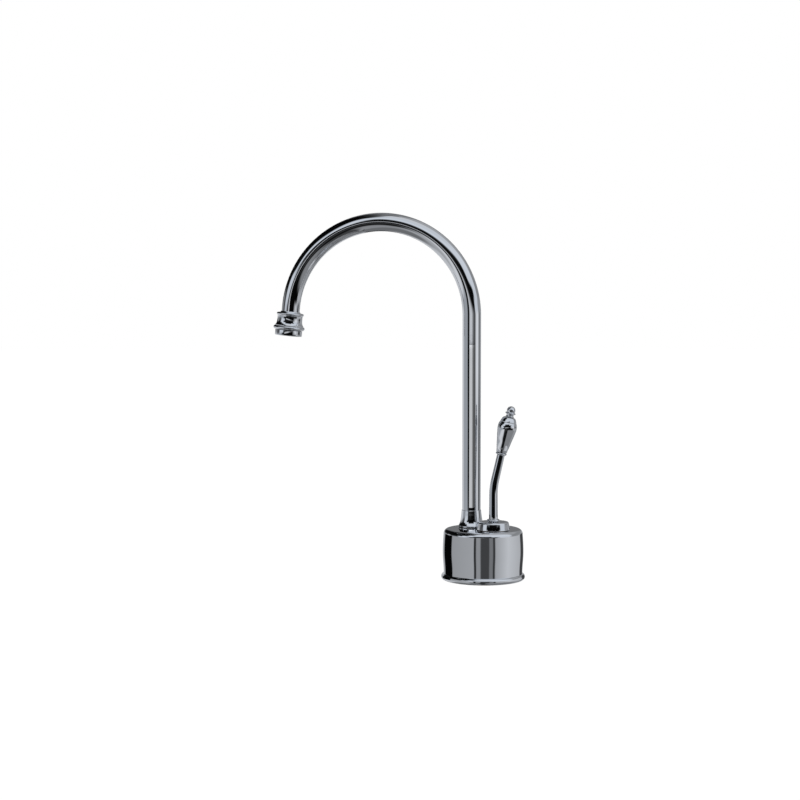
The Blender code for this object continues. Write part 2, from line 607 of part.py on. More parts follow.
def build_cartridge(brass, ceramic, rubber, valve_axis):
    """Adds the fixed pieces of the quarter-turn valve."""
    outer = VALVE_CHAMBER_RADIUS - SEAT_GAP
    outline = tube_profile(CARTRIDGE_PORT_RADIUS, outer - SEAT_GAP, VALVE_FLOOR + SEAT_GAP, SEAL_TOP)
    add_piece("cartridge_seal", spun(outline, TURNED_SIDES), rubber, valve_axis)
    body = add_piece("cartridge_body", spun(cartridge_outline(), TURNED_SIDES), brass, valve_axis)
    reach = on_axes_line(outer + OVERRUN)
    level = Vector((0, 0, WINDOW_HEIGHT))
    drilling(body, "cartridge_window", level - reach, level, CARTRIDGE_WINDOW_RADIUS, valve_axis)
    radius = DISC_CHAMBER_RADIUS - SEAT_GAP
    outline = tube_profile(0, radius, FIXED_DISC_BOTTOM, FIXED_DISC_BOTTOM + DISC_THICKNESS)
    disc = add_piece("fixed_disc", spun(outline, TURNED_SIDES), ceramic, valve_axis)
    cut_disc_ports(disc, "fixed_disc", FIXED_DISC_BOTTOM, DISC_THICKNESS, (1, 0), valve_axis)
    build_cartridge_nut(brass, valve_axis)


def cut_disc_ports(piece, name, bottom, thickness, way, parent):
    """Cuts the two water ways of a disc, opposite each other along a local direction."""
    for side in (-1, 1):
        place = [side * share * DISC_PORT_OFFSET for share in way]
        bore(piece, f"{name}_port_{side + 1}", DISC_PORT_RADIUS, bottom - OVERRUN,
             bottom + thickness + OVERRUN, parent, place, PORT_SIDES)


def build_cartridge_nut(brass, valve_axis):
    """Adds the nut that holds the cartridge and draws the shell down on the block."""
    thread = VALVE_CHAMBER_RADIUS - SEAT_GAP
    inner = CARTRIDGE_NECK_RADIUS + SEAT_GAP
    flange_top = CARTRIDGE_NUT_SHOULDER + CARTRIDGE_NUT_FLANGE_HEIGHT
    outline = [(0, CARTRIDGE_TOP + SEAT_GAP), (thread, CARTRIDGE_TOP + SEAT_GAP)]
    outline += [(thread, CARTRIDGE_NUT_SHOULDER), (CARTRIDGE_NUT_FLANGE_RADIUS, CARTRIDGE_NUT_SHOULDER)]
    outline += [(CARTRIDGE_NUT_FLANGE_RADIUS, flange_top), (0, flange_top)]
    nut = add_piece("cartridge_nut", spun(outline, TURNED_SIDES), brass, valve_axis)
    head = add_cutter("nut_head", prism(polygon(CARTRIDGE_NUT_HEX_RADIUS, HEX_SIDES),
                                        CARTRIDGE_NUT_SHOULDER, CARTRIDGE_NUT_TOP), valve_axis)
    join = nut.modifiers.new("head", "BOOLEAN")
    join.operation = "UNION"
    join.object = head
    bore(nut, "nut_bore", inner, CARTRIDGE_TOP, CARTRIDGE_NUT_TOP + OVERRUN, valve_axis, sides=TURNED_SIDES)


def build_swivel_socket(brass, plastic, spout_axis):
    """Adds the ring that keeps the spout's tail in its socket, and the ring that the collar glides on."""
    inner = TUBE_RADIUS + SEAT_GAP
    thread = SPOUT_SOCKET_RADIUS - SEAT_GAP
    outline = tube_profile(inner, thread, TUBE_BOTTOM, SHELL_TOP)
    add_piece("spout_retainer", spun(outline, TUBE_SIDES), brass, spout_axis)
    top = GLIDE_RING_BOTTOM + GLIDE_RING_THICKNESS
    outline = tube_profile(inner, inner + GLIDE_RING_WIDTH, GLIDE_RING_BOTTOM, top)
    add_piece("glide_ring", spun(outline, TUBE_SIDES), plastic, spout_axis)


def tail_outline():
    """Returns the spout tail's outline, with two seal grooves and a waist for the water between them."""
    floor = TAIL_RADIUS - TAIL_GROOVE_DEPTH
    low = TAIL_BOTTOM + TAIL_LAND
    high = TAIL_TOP - TAIL_LAND
    waist_low = low + TAIL_GROOVE_WIDTH + TAIL_LAND
    waist_high = high - TAIL_GROOVE_WIDTH - TAIL_LAND
    spigot = TUBE_BORE_RADIUS - BRAZE_GAP
    return [
        (TAIL_BORE_RADIUS, TAIL_BOTTOM),
        (TAIL_RADIUS, TAIL_BOTTOM),
        (TAIL_RADIUS, low),
        (floor, low),
        (floor, low + TAIL_GROOVE_WIDTH),
        (TAIL_RADIUS, low + TAIL_GROOVE_WIDTH),
        (TAIL_RADIUS, waist_low),
        (TAIL_RADIUS - TAIL_WAIST_DEPTH, waist_low),
        (TAIL_RADIUS - TAIL_WAIST_DEPTH, waist_high),
        (TAIL_RADIUS, waist_high),
        (TAIL_RADIUS, high - TAIL_GROOVE_WIDTH),
        (floor, high - TAIL_GROOVE_WIDTH),
        (floor, high),
        (TAIL_RADIUS, high),
        (TAIL_RADIUS, TAIL_TOP),
        (spigot, TAIL_TOP),
        (spigot, TAIL_TOP + TAIL_SPIGOT_HEIGHT),
        (TAIL_BORE_RADIUS, TAIL_TOP + TAIL_SPIGOT_HEIGHT),
    ]


def build_tail(brass, rubber, spout_axis):
    """Adds the brass tail that turns in the socket, and its two seals."""
    tail = add_piece("spout_tail", spun(tail_outline(), TUBE_SIDES), brass, spout_axis)
    level = Vector((0, 0, TAIL_BOTTOM + TAIL_HEIGHT / 2))
    reach = on_axes_line(TAIL_RADIUS + OVERRUN)
    drilling(tail, "tail_port", level, level + reach, TAIL_PORT_RADIUS, spout_axis)
    groove_middle = TAIL_LAND + TAIL_GROOVE_WIDTH / 2
    centre_radius = (SPOUT_SOCKET_RADIUS + TAIL_RADIUS - TAIL_GROOVE_DEPTH) / 2
    for name, height in (("lower", TAIL_BOTTOM + groove_middle), ("upper", TAIL_TOP - groove_middle)):
        section = arc_points((centre_radius, height), SPOUT_ORING_RADIUS, 0, math.tau, PORT_SIDES)[:-1]
        add_piece(f"spout_oring_{name}", spun(section, TUBE_SIDES), rubber, spout_axis)


def spout_path():
    """Returns (place, direction) pairs along the spout, in the swivel's own frame."""
    up = Vector((0, 0, 1))
    path = [(Vector((0, 0, TUBE_BOTTOM)), up)]
    for step in range(ARC_STEPS + 1):
        turn = ARC_SWEEP * step / ARC_STEPS
        place = Vector((-ARC_RADIUS * (1 - math.cos(turn)), 0, ARC_CENTRE_HEIGHT + ARC_RADIUS * math.sin(turn)))
        path.append((place, Vector((-math.sin(turn), 0, math.cos(turn)))))
    return path


def build_tube(chrome, spout_axis):
    """Adds the bent tube with its true bore, ending inside the nozzle."""
    path = spout_path()
    last, along = path[-1]
    run = OUTLET_RUN - AERATOR_LIP_HEIGHT - SEAT_GAP - NOZZLE_THREAD_DEPTH - SEAT_GAP
    path.append((last + along * run, along))
    mesh = bmesh.new()
    rings = [ring_of(mesh, place, along, TUBE_RADIUS, TUBE_SIDES) for place, along in path]
    rings += [ring_of(mesh, place, along, TUBE_BORE_RADIUS, TUBE_SIDES) for place, along in reversed(path)]
    skin(mesh, rings, closed=True)
    add_piece("spout_tube", mesh, chrome, spout_axis)


def build_collar(chrome, spout_axis):
    """Adds the flared collar at the foot of the spout, recessed beneath for the glide ring."""
    inner = TUBE_RADIUS + BRAZE_GAP
    recess = TUBE_RADIUS + SEAT_GAP + GLIDE_RING_WIDTH + SEAT_GAP
    recess_top = GLIDE_RING_BOTTOM + GLIDE_RING_THICKNESS + SEAT_GAP
    foot_top = COLLAR_BOTTOM + COLLAR_FOOT_HEIGHT
    outline = [(recess, COLLAR_BOTTOM), (COLLAR_FOOT_RADIUS, COLLAR_BOTTOM), (COLLAR_FOOT_RADIUS, foot_top)]
    for step in range(1, EDGE_STEPS + 1):
        share = step / EDGE_STEPS
        spread = (1 - share) ** 2
        radius = COLLAR_NECK_RADIUS + (COLLAR_FOOT_RADIUS - COLLAR_NECK_RADIUS) * spread
        outline.append((radius, foot_top + COLLAR_CONE_HEIGHT * share))
    top = COLLAR_BOTTOM + COLLAR_HEIGHT
    outline += [(COLLAR_NECK_RADIUS, top), (inner, top), (inner, recess_top), (recess, recess_top)]
    add_piece("spout_collar", spun(outline, TUBE_SIDES), chrome, spout_axis)


def nozzle_outline():
    """Returns the nozzle's outline: a thin flange, a waist, and a flare to the lower ring."""
    bottom = AERATOR_LIP_HEIGHT + SEAT_GAP
    top = bottom + NOZZLE_HEIGHT
    ring_radius = NOZZLE_RING_THICKNESS / 2
    ring_centre = (NOZZLE_RING_RADIUS - ring_radius, bottom + ring_radius)
    thread = AERATOR_THREAD_RADIUS + SEAT_GAP
    points = [(thread, bottom)]
    points += arc_points(ring_centre, ring_radius, -math.pi / 2, math.pi / 2, EDGE_STEPS)
    flare_bottom = bottom + NOZZLE_RING_THICKNESS
    flange_bottom = top - 1.5 * NOZZLE_FLANGE_THICKNESS
    for step in range(EDGE_STEPS + 1):
        share = step / EDGE_STEPS
        radius = NOZZLE_WAIST_RADIUS + (NOZZLE_FLARE_RADIUS - NOZZLE_WAIST_RADIUS) * (1 - share) ** 3
        points.append((radius, flare_bottom + (flange_bottom - flare_bottom) * share))
    flange_radius = NOZZLE_FLANGE_THICKNESS / 2
    flange_centre = (NOZZLE_FLANGE_RADIUS - flange_radius, flange_bottom + flange_radius)
    points += arc_points(flange_centre, flange_radius, -math.pi / 3, math.pi / 2, EDGE_STEPS)
    tube_hole = TUBE_RADIUS + BRAZE_GAP
    points += [(tube_hole + BRAZE_GAP, top), (tube_hole, top)]
    points += [(tube_hole, bottom + NOZZLE_THREAD_DEPTH), (thread, bottom + NOZZLE_THREAD_DEPTH)]
    return points


def build_nozzle(chrome, spout_axis):
    """Adds the ringed nozzle and returns the empty on its axis."""
    last, along = spout_path()[-1]
    outlet = last + along * OUTLET_RUN
    tilt = math.pi - ARC_SWEEP
    nozzle_axis = empty("nozzle_axis", outlet, spout_axis, (0, tilt, 0))
    add_piece("nozzle_body", spun(nozzle_outline(), TURNED_SIDES), chrome, nozzle_axis)
    return nozzle_axis


def build_aerator(chrome, rubber, steel, plastic, nozzle_axis):
    """Adds the outlet ring that screws into the nozzle, with its washer, screen and straightener."""
    edge_centre = (AERATOR_LIP_RADIUS - AERATOR_LIP_EDGE, AERATOR_LIP_EDGE)
    top = AERATOR_LIP_HEIGHT + AERATOR_THREAD_HEIGHT
    outline = [(AERATOR_MOUTH_RADIUS, 0)]
    outline += arc_points(edge_centre, AERATOR_LIP_EDGE, -math.pi / 2, 0, 2)
    outline += [(AERATOR_LIP_RADIUS, AERATOR_LIP_HEIGHT), (AERATOR_THREAD_RADIUS, AERATOR_LIP_HEIGHT)]
    outline += [(AERATOR_THREAD_RADIUS, top), (AERATOR_BORE_RADIUS, top)]
    outline += [(AERATOR_BORE_RADIUS, AERATOR_MOUTH_LIP), (AERATOR_MOUTH_RADIUS, AERATOR_MOUTH_LIP)]
    add_piece("aerator_shell", spun(outline, TURNED_SIDES), chrome, nozzle_axis)
    washer_bottom = top + SEAT_GAP
    washer_top = washer_bottom + AERATOR_WASHER_THICKNESS
    outline = tube_profile(TUBE_BORE_RADIUS, AERATOR_THREAD_RADIUS, washer_bottom, washer_top)
    add_piece("aerator_washer", spun(outline, SMALL_SIDES), rubber, nozzle_axis)
    insert_radius = AERATOR_BORE_RADIUS - SEAT_GAP
    screen_bottom = top - SCREEN_THICKNESS
    screen = tube_profile(0, insert_radius, screen_bottom, top)
    insert = tube_profile(0, insert_radius, AERATOR_MOUTH_LIP + SEAT_GAP, screen_bottom - SEAT_GAP)
    screen = add_piece("aerator_screen", spun(screen, SMALL_SIDES), steel, nozzle_axis)
    insert = add_piece("flow_straightener", spun(insert, SMALL_SIDES), plastic, nozzle_axis)
    holes = add_cutter("straightener_holes", straightener_holes(top), nozzle_axis)
    cut(screen, holes)
    cut(insert, holes)


def straightener_holes(top):
    """Returns a mesh of upright pins, one in the middle and six more in each ring outwards."""
    mesh = bmesh.new()
    places = [(0, 0)]
    for ring in range(1, STRAIGHTENER_RINGS + 1):
        places += polygon(ring * STRAIGHTENER_HOLE_PITCH, HEX_SIDES * ring)
    for place in places:
        outline = polygon(STRAIGHTENER_HOLE_RADIUS, HEX_SIDES, place)
        floor = mesh.faces.new([mesh.verts.new((x, y, 0)) for x, y in outline])
        grown = bmesh.ops.extrude_face_region(mesh, geom=[floor])
        raised = [part for part in grown["geom"] if isinstance(part, bmesh.types.BMVert)]
        bmesh.ops.translate(mesh, verts=raised, vec=(0, 0, top + OVERRUN))
    return mesh


def build_spindle(brass, ceramic, rubber, steel, valve_axis):
    """Adds the upper disc, the spindle that turns it, and the spindle's seal and clip."""
    radius = DISC_CHAMBER_RADIUS - SEAT_GAP
    outline = tube_profile(0, radius, MOVING_DISC_BOTTOM, MOVING_DISC_BOTTOM + DISC_THICKNESS)
    disc = add_piece("moving_disc", spun(outline, TURNED_SIDES), ceramic, valve_axis)
    cut_disc_ports(disc, "moving_disc", MOVING_DISC_BOTTOM, DISC_THICKNESS, (0, 1), valve_axis)
    half_length, half_width = DISC_SLOT_LENGTH / 2, DISC_SLOT_WIDTH / 2
    disc_top = MOVING_DISC_BOTTOM + DISC_THICKNESS
    low = (-half_length - SEAT_GAP, -half_width - SEAT_GAP, disc_top - DISC_SLOT_DEPTH)
    high = (half_length + SEAT_GAP, half_width + SEAT_GAP, disc_top + OVERRUN)
    slot(disc, "disc_slot", low, high, valve_axis)
    spindle = add_piece("spindle", spun(spindle_outline(), SMALL_SIDES), brass, valve_axis)
    cut_disc_ports(spindle, "spindle_foot", SPINDLE_BOTTOM, SPINDLE_FOOT_HEIGHT, (0, 1), valve_axis)
    tongue_bottom = disc_top - DISC_SLOT_DEPTH + SEAT_GAP
    outline = [(-half_length, -half_width), (half_length, -half_width)]
    outline += [(half_length, half_width), (-half_length, half_width)]
    tongue = prism(outline, tongue_bottom, SPINDLE_BOTTOM + SPINDLE_FOOT_HEIGHT / 2)
    join = spindle.modifiers.new("tongue", "BOOLEAN")
    join.operation = "UNION"
    join.object = add_cutter("spindle_tongue", tongue, valve_axis)
    clip_bottom = CARTRIDGE_NECK_TOP + SEAT_GAP
    inner = SPINDLE_RADIUS - SPINDLE_CLIP_GROOVE_DEPTH + SEAT_GAP
    outline = tube_profile(inner, CARTRIDGE_NECK_RADIUS, clip_bottom, clip_bottom + SPINDLE_CLIP_THICKNESS)
    clip = add_piece("spindle_clip", spun(outline, SMALL_SIDES), steel, valve_axis)
    low = (0, -SPINDLE_CLIP_OPENING / 2, clip_bottom - OVERRUN)
    high = (CARTRIDGE_NECK_RADIUS + OVERRUN, SPINDLE_CLIP_OPENING / 2, CARTRIDGE_NUT_TOP)
    slot(clip, "clip_opening", low, high, valve_axis)
    groove_floor = SPINDLE_RADIUS - SPINDLE_ORING_GROOVE_DEPTH
    centre = ((groove_floor + SPINDLE_BORE_RADIUS) / 2, spindle_seal_height())
    section = arc_points(centre, SPINDLE_ORING_RADIUS, 0, math.tau, PORT_SIDES)[:-1]
    add_piece("spindle_oring", spun(section, SMALL_SIDES), rubber, valve_axis)


def spindle_seal_height():
    """Returns the height of the spindle's seal, just above the roof of the disc chamber."""
    return DISC_CHAMBER_TOP + SPINDLE_ORING_GROOVE_WIDTH + CARTRIDGE_ROOF / 2


def spindle_outline():
    """Returns the spindle's outline: foot, seal groove, clip groove and tapped top."""
    seal = spindle_seal_height()
    half_groove = SPINDLE_ORING_GROOVE_WIDTH / 2
    groove_floor = SPINDLE_RADIUS - SPINDLE_ORING_GROOVE_DEPTH
    foot_top = SPINDLE_BOTTOM + SPINDLE_FOOT_HEIGHT
    clip_low = CARTRIDGE_NECK_TOP
    clip_high = clip_low + SPINDLE_CLIP_THICKNESS + 2 * SEAT_GAP
    clip_floor = SPINDLE_RADIUS - SPINDLE_CLIP_GROOVE_DEPTH
    return [
        (0, SPINDLE_BOTTOM),
        (SPINDLE_FOOT_RADIUS, SPINDLE_BOTTOM),
        (SPINDLE_FOOT_RADIUS, foot_top),
        (SPINDLE_RADIUS, foot_top),
        (SPINDLE_RADIUS, seal - half_groove),
        (groove_floor, seal - half_groove),
        (groove_floor, seal + half_groove),
        (SPINDLE_RADIUS, seal + half_groove),
        (SPINDLE_RADIUS, clip_low),
        (clip_floor, clip_low),
        (clip_floor, clip_high),
        (SPINDLE_RADIUS, clip_high),
        (SPINDLE_RADIUS, SPINDLE_TOP),
        (SPINDLE_TAPPED_RADIUS, SPINDLE_TOP),
        (SPINDLE_TAPPED_RADIUS, SPINDLE_TOP - SPINDLE_TAPPED_DEPTH),
        (0, SPINDLE_TOP - SPINDLE_TAPPED_DEPTH),
    ]


def build_hub(chrome, steel, valve_axis):
    """Adds the round hub of the lever, its grub screw and the ring that locks the stem."""
    spindle_hole = SPINDLE_RADIUS + SEAT_GAP
    edge_centre = (HUB_SHOULDER_RADIUS - HUB_EDGE_RADIUS, HUB_TOP - HUB_EDGE_RADIUS)
    outline = [(HUB_CAVITY_RADIUS, HUB_BOTTOM), (HUB_FOOT_RADIUS, HUB_BOTTOM)]
    outline += arc_points(edge_centre, HUB_EDGE_RADIUS, 0, math.pi / 2, EDGE_STEPS)
    outline += [(SPINDLE_TAPPED_RADIUS, HUB_TOP), (SPINDLE_TAPPED_RADIUS, SPINDLE_TOP + SEAT_GAP)]
    outline += [(spindle_hole, SPINDLE_TOP + SEAT_GAP), (spindle_hole, HUB_CAVITY_TOP)]
    outline.append((HUB_CAVITY_RADIUS, HUB_CAVITY_TOP))
    hub = add_piece("handle_hub", spun(outline, TURNED_SIDES), chrome, valve_axis)
    level = Vector((0, 0, HUB_CAVITY_TOP + SPINDLE_GRIP * GRUB_LEVEL_SHARE))
    way = Vector((0, 1, 0))
    outer = way * (HUB_FOOT_RADIUS + OVERRUN)
    drilling(hub, "grub_hole", level + way * SPINDLE_RADIUS, level + outer, GRUB_SCREW_RADIUS, valve_axis)
    length = HUB_SHOULDER_RADIUS - GRUB_SINK - SPINDLE_RADIUS - SEAT_GAP
    grub = prism(polygon(GRUB_SCREW_RADIUS - SEAT_GAP, PORT_SIDES), 0, length)
    turn = Vector((0, 0, 1)).rotation_difference(way).to_matrix().to_4x4()
    place = Matrix.Translation(level + way * (SPINDLE_RADIUS + SEAT_GAP)) @ turn
    bmesh.ops.transform(grub, matrix=place, verts=grub.verts)
    screw = add_piece("hub_grub_screw", grub, steel, valve_axis)
    tip = level + way * (SPINDLE_RADIUS + SEAT_GAP + length)
    drilling(screw, "grub_socket", tip - way * GRUB_SOCKET_DEPTH, tip + way * OVERRUN, GRUB_SOCKET_RADIUS,
             valve_axis)
    ring_inner = STEM_FOOT_RADIUS + BRAZE_GAP
    ring_bottom = HUB_TOP + SEAT_GAP
    ring_edge = LOCK_RING_HEIGHT / 2
    centre = (LOCK_RING_RADIUS - ring_edge, ring_bottom + ring_edge)
    outline = [(ring_inner, ring_bottom)]
    outline += arc_points(centre, ring_edge, -math.pi / 2, math.pi / 2, EDGE_STEPS)
    outline.append((ring_inner, ring_bottom + LOCK_RING_HEIGHT))
    add_piece("lock_ring", spun(outline, SMALL_SIDES), chrome, valve_axis)


def stem_path():
    """Returns (place, direction) pairs up the lever's stem: straight, a bend, then leaning to the grip."""
    up = Vector((0, 0, 1))
    path = [(Vector((0, 0, STEM_BOTTOM)), up)]
    for step in range(BEND_STEPS + 1):
        turn = STEM_LEAN * step / BEND_STEPS
        across = STEM_BEND_RADIUS * (1 - math.cos(turn))
        place = Vector((across, 0, STEM_BEND_HEIGHT + STEM_BEND_RADIUS * math.sin(turn)))
        path.append((place, Vector((math.sin(turn), 0, math.cos(turn)))))
    bent, along = path[-1]
    path.append((bent + along * ((GRIP_HEIGHT_ABOVE_DECK - bent.z) / along.z), along))
    return path


def build_stem(chrome, valve_axis):
    """Adds the curved stem, with a screwed tail below and a spigot for the grip above."""
    path = stem_path()
    tip = path[-1][0].z
    mesh = bmesh.new()
    tail_bottom = SPINDLE_TOP - SPINDLE_TAPPED_DEPTH + SEAT_GAP
    up = path[0][1]
    rings = [
        ring_of(mesh, Vector((0, 0, tail_bottom)), up, STEM_TAIL_RADIUS, SMALL_SIDES),
        ring_of(mesh, path[0][0], up, STEM_TAIL_RADIUS, SMALL_SIDES),
    ]
    for place, along in path:
        share = (place.z - STEM_BOTTOM) / (tip - STEM_BOTTOM)
        radius = STEM_FOOT_RADIUS + (STEM_TIP_RADIUS - STEM_FOOT_RADIUS) * share
        rings.append(ring_of(mesh, place, along, radius, SMALL_SIDES))
    place, along = path[-1]
    rings.append(ring_of(mesh, place, along, GRIP_TAIL_RADIUS, SMALL_SIDES))
    rings.append(ring_of(mesh, place + along * GRIP_TAIL_LENGTH, along, GRIP_TAIL_RADIUS, SMALL_SIDES))
    skin(mesh, rings, closed=False)
    add_piece("lever_stem", mesh, chrome, valve_axis)
    return empty("grip_axis", place, valve_axis, (0, STEM_LEAN, 0))


def grip_outline():
    """Returns the teardrop grip's outline, measured up its own axis."""
    bottom = SEAT_GAP + FERRULE_HEIGHT + SEAT_GAP
    foot = GRIP_RADIUS * GRIP_FOOT_SHARE
    widest = bottom + GRIP_LENGTH * GRIP_WIDEST_SHARE
    crease = bottom + GRIP_LENGTH * GRIP_CREASE_SHARE
    top = bottom + GRIP_LENGTH
    hole = GRIP_TAIL_RADIUS + SEAT_GAP
    outline = [(hole, bottom), (foot, bottom)]
    for step in range(1, GRIP_STEPS + 1):
        share = step / GRIP_STEPS
        radius = foot + (GRIP_RADIUS - foot) * math.sin(math.pi / 2 * share) ** 1.1
        outline.append((radius, bottom + (widest - bottom) * share))
    crease_radius = GRIP_RADIUS * GRIP_CREASE_RADIUS_SHARE
    for step in range(1, EDGE_STEPS + 1):
        share = step / EDGE_STEPS
        radius = crease_radius + (GRIP_RADIUS - crease_radius) * math.cos(math.pi / 2 * share)
        outline.append((radius, widest + (crease - widest) * share))
    outline.append((crease_radius - GRIP_CREASE_DEPTH, crease + GRIP_CREASE_DEPTH))
    top_radius = GRIP_RADIUS * GRIP_TOP_RADIUS_SHARE
    edge = (top - crease) / 3
    outline.append((top_radius, top - edge))
    outline += arc_points((top_radius - edge, top - edge), edge, 0, math.pi / 2, 2)[1:]
    outline.append((hole, top))
    return outline


def build_grip(chrome, grip_axis):
    """Adds the grip with its ferrule below and its screwed finial above."""
    hole = GRIP_TAIL_RADIUS + SEAT_GAP
    bottom = SEAT_GAP
    edge = FERRULE_HEIGHT / 2
    outline = [(hole, bottom)]
    outline += arc_points((FERRULE_RADIUS - edge, bottom + edge), edge, -math.pi / 2, math.pi / 2, EDGE_STEPS)
    outline.append((hole, bottom + FERRULE_HEIGHT))
    add_piece("grip_ferrule", spun(outline, SMALL_SIDES), chrome, grip_axis)
    add_piece("grip", spun(grip_outline(), TURNED_SIDES), chrome, grip_axis)
    neck_bottom = SEAT_GAP + FERRULE_HEIGHT + SEAT_GAP + GRIP_LENGTH + SEAT_GAP
    neck_top = neck_bottom + FINIAL_NECK_HEIGHT
    flange_top = neck_top + FINIAL_FLANGE_HEIGHT
    ball_centre = flange_top + FINIAL_BALL_RADIUS / 2
    outline = [(0, neck_bottom - FINIAL_SCREW_LENGTH), (FINIAL_SCREW_RADIUS, neck_bottom - FINIAL_SCREW_LENGTH)]
    outline += [(FINIAL_SCREW_RADIUS, neck_bottom), (FINIAL_NECK_RADIUS, neck_bottom)]
    outline += [(FINIAL_NECK_RADIUS, neck_top), (FINIAL_FLANGE_RADIUS, neck_top)]
    outline += [(FINIAL_FLANGE_RADIUS, flange_top)]
    outline += arc_points((0, ball_centre), FINIAL_BALL_RADIUS, -math.pi / 6, math.pi / 2, EDGE_STEPS)
    add_piece("finial", spun(outline, SMALL_SIDES), chrome, grip_axis)


def main():
    """Builds the whole tap."""
    clear_scene()
    chrome = finish("chrome", (0.63, 0.65, 0.68), 1.0, 0.06)
    brass = finish("brass", (0.72, 0.55, 0.28), 1.0, 0.35)
    steel = finish("steel", (0.55, 0.56, 0.57), 1.0, 0.3)
    rubber = finish("rubber", (0.03, 0.03, 0.03), 0.0, 0.8)
    plastic = finish("plastic", (0.8, 0.8, 0.78), 0.0, 0.5)
    ceramic = finish("ceramic", (0.86, 0.85, 0.82), 0.0, 0.2)
    spout_axis = empty("spout_axis", on_axes_line(-SPOUT_OFFSET))
    valve_axis = empty("valve_axis", on_axes_line(VALVE_OFFSET))
    build_shell(chrome, spout_axis, valve_axis)
    build_foot(rubber, steel)
    build_block(brass, spout_axis, valve_axis)
    build_deck_fixings(brass, steel, rubber)
    build_inlet(brass, rubber)
    build_cartridge(brass, ceramic, rubber, valve_axis)
    build_swivel_socket(brass, plastic, spout_axis)
    build_tail(brass, rubber, spout_axis)
    build_tube(chrome, spout_axis)
    build_collar(chrome, spout_axis)
    nozzle_axis = build_nozzle(chrome, spout_axis)
    build_aerator(chrome, rubber, steel, plastic, nozzle_axis)
    build_spindle(brass, ceramic, rubber, steel, valve_axis)
    build_hub(chrome, steel, valve_axis)
    grip_axis = build_stem(chrome, valve_axis)
    build_grip(chrome, grip_axis)
    bpy.context.view_layer.update()


main()
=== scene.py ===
"""Dresses the cold water dispenser tap: chromed base, gooseneck spout, ringed nozzle and small curved lever.

Every length is in metres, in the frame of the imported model: the origin is where the base's axis meets the
deck, +Z is up, the spout points along -X and the lever leans towards +X.
"""

import json
import logging
import math
from dataclasses import dataclass, field
from enum import Enum
from typing import Any, Iterable, Optional, Sequence

import bmesh
import bpy
from mathutils import Matrix, Vector


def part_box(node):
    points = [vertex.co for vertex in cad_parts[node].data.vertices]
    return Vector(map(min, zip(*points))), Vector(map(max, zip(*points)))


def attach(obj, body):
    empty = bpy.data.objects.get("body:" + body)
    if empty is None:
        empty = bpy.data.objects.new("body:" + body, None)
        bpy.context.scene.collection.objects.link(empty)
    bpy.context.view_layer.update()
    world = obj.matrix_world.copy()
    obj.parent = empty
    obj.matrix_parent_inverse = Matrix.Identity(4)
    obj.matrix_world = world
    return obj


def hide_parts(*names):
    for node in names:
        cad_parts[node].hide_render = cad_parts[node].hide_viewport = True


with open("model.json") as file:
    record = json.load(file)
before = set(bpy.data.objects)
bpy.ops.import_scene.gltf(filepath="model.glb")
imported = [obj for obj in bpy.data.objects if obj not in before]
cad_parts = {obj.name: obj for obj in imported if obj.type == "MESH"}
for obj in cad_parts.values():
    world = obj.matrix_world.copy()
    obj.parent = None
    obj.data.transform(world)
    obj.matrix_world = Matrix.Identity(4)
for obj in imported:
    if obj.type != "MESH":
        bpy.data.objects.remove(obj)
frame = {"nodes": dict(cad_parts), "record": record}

LOG = logging.getLogger("tap")
MM = 0.001
# The hole's radius in everything that the shank passes.
SHANK_HOLE = 5.85 * MM
# How far a cutting shape stands past the face that it cuts.
PAST = 1 * MM
Point = tuple[float, float]
Outline = list[Point]
Colour = tuple[float, float, float]
VECTOR, FLOAT, WHOLE = "NodeSocketVector", "NodeSocketFloat", "NodeSocketInt"
COLOUR, MATERIAL, GEOMETRY = "NodeSocketColor", "NodeSocketMaterial", "NodeSocketGeometry"


class Slot(Enum):
    """The record's material slots."""

    CHROME = "polished_chrome"
    BRASS = "bare_brass"
    STEEL = "stainless_steel"
    RUBBER = "black_rubber"
    ACETAL = "white_acetal"
    CERAMIC = "disc_ceramic"


class Body(Enum):
    """The bodies that move against each other."""

    BASE = "base"
    SPOUT = "spout"
    LEVER = "lever"


class Marks(Enum):
    """What the tool that shaped a surface left on it."""

    NONE = "none"
    POLISH = "polish"
    TURNED = "turned"
    MOULDED = "moulded"


def in_mm(points: Iterable[Point], foot: float = 0.0) -> Outline:
    """Turns (radius, height) points in millimetres into metres, with the heights counted from a foot."""
    return [(radius * MM, foot + height * MM) for radius, height in points]


def arc(centre: Point, radius: float, start: float, end: float, steps: int) -> Outline:
    """Samples an arc in the (radius, height) plane.

    Args:
        centre: the arc's centre.
        radius: its radius.
        start: the angle of its first point, in degrees.
        end: the angle of its last point, in degrees.
        steps: how many chords stand for it.

    Returns:
        The arc's points, with both its ends.
    """
    turns = (math.radians(start + (end - start) * step / steps) for step in range(steps + 1))
    return [(centre[0] + radius * math.cos(turn), centre[1] + radius * math.sin(turn)) for turn in turns]


def smooth_curve(points: Sequence[Point], steps: int) -> Outline:
    """Draws a smooth line through points, with a Catmull-Rom rule on their spacing.

    Args:
        points: the points that the line passes.
        steps: how many chords lie between two points.

    Returns:
        The sampled line, with both its ends.
    """
    vectors = [Vector(point) for point in points]
    vectors = [2 * vectors[0] - vectors[1], *vectors, 2 * vectors[-1] - vectors[-2]]
    line: Outline = []
    for first, second, third, fourth in zip(vectors, vectors[1:], vectors[2:], vectors[3:]):
        for step in range(steps):
            t = step / steps
            place = 0.5 * (
                2 * second
                + (third - first) * t
                + (2 * first - 5 * second + 4 * third - fourth) * t**2
                + (3 * second - first - 3 * third + fourth) * t**3
            )
            line.append((place.x, place.y))
    line.append(tuple(points[-1]))
    return line


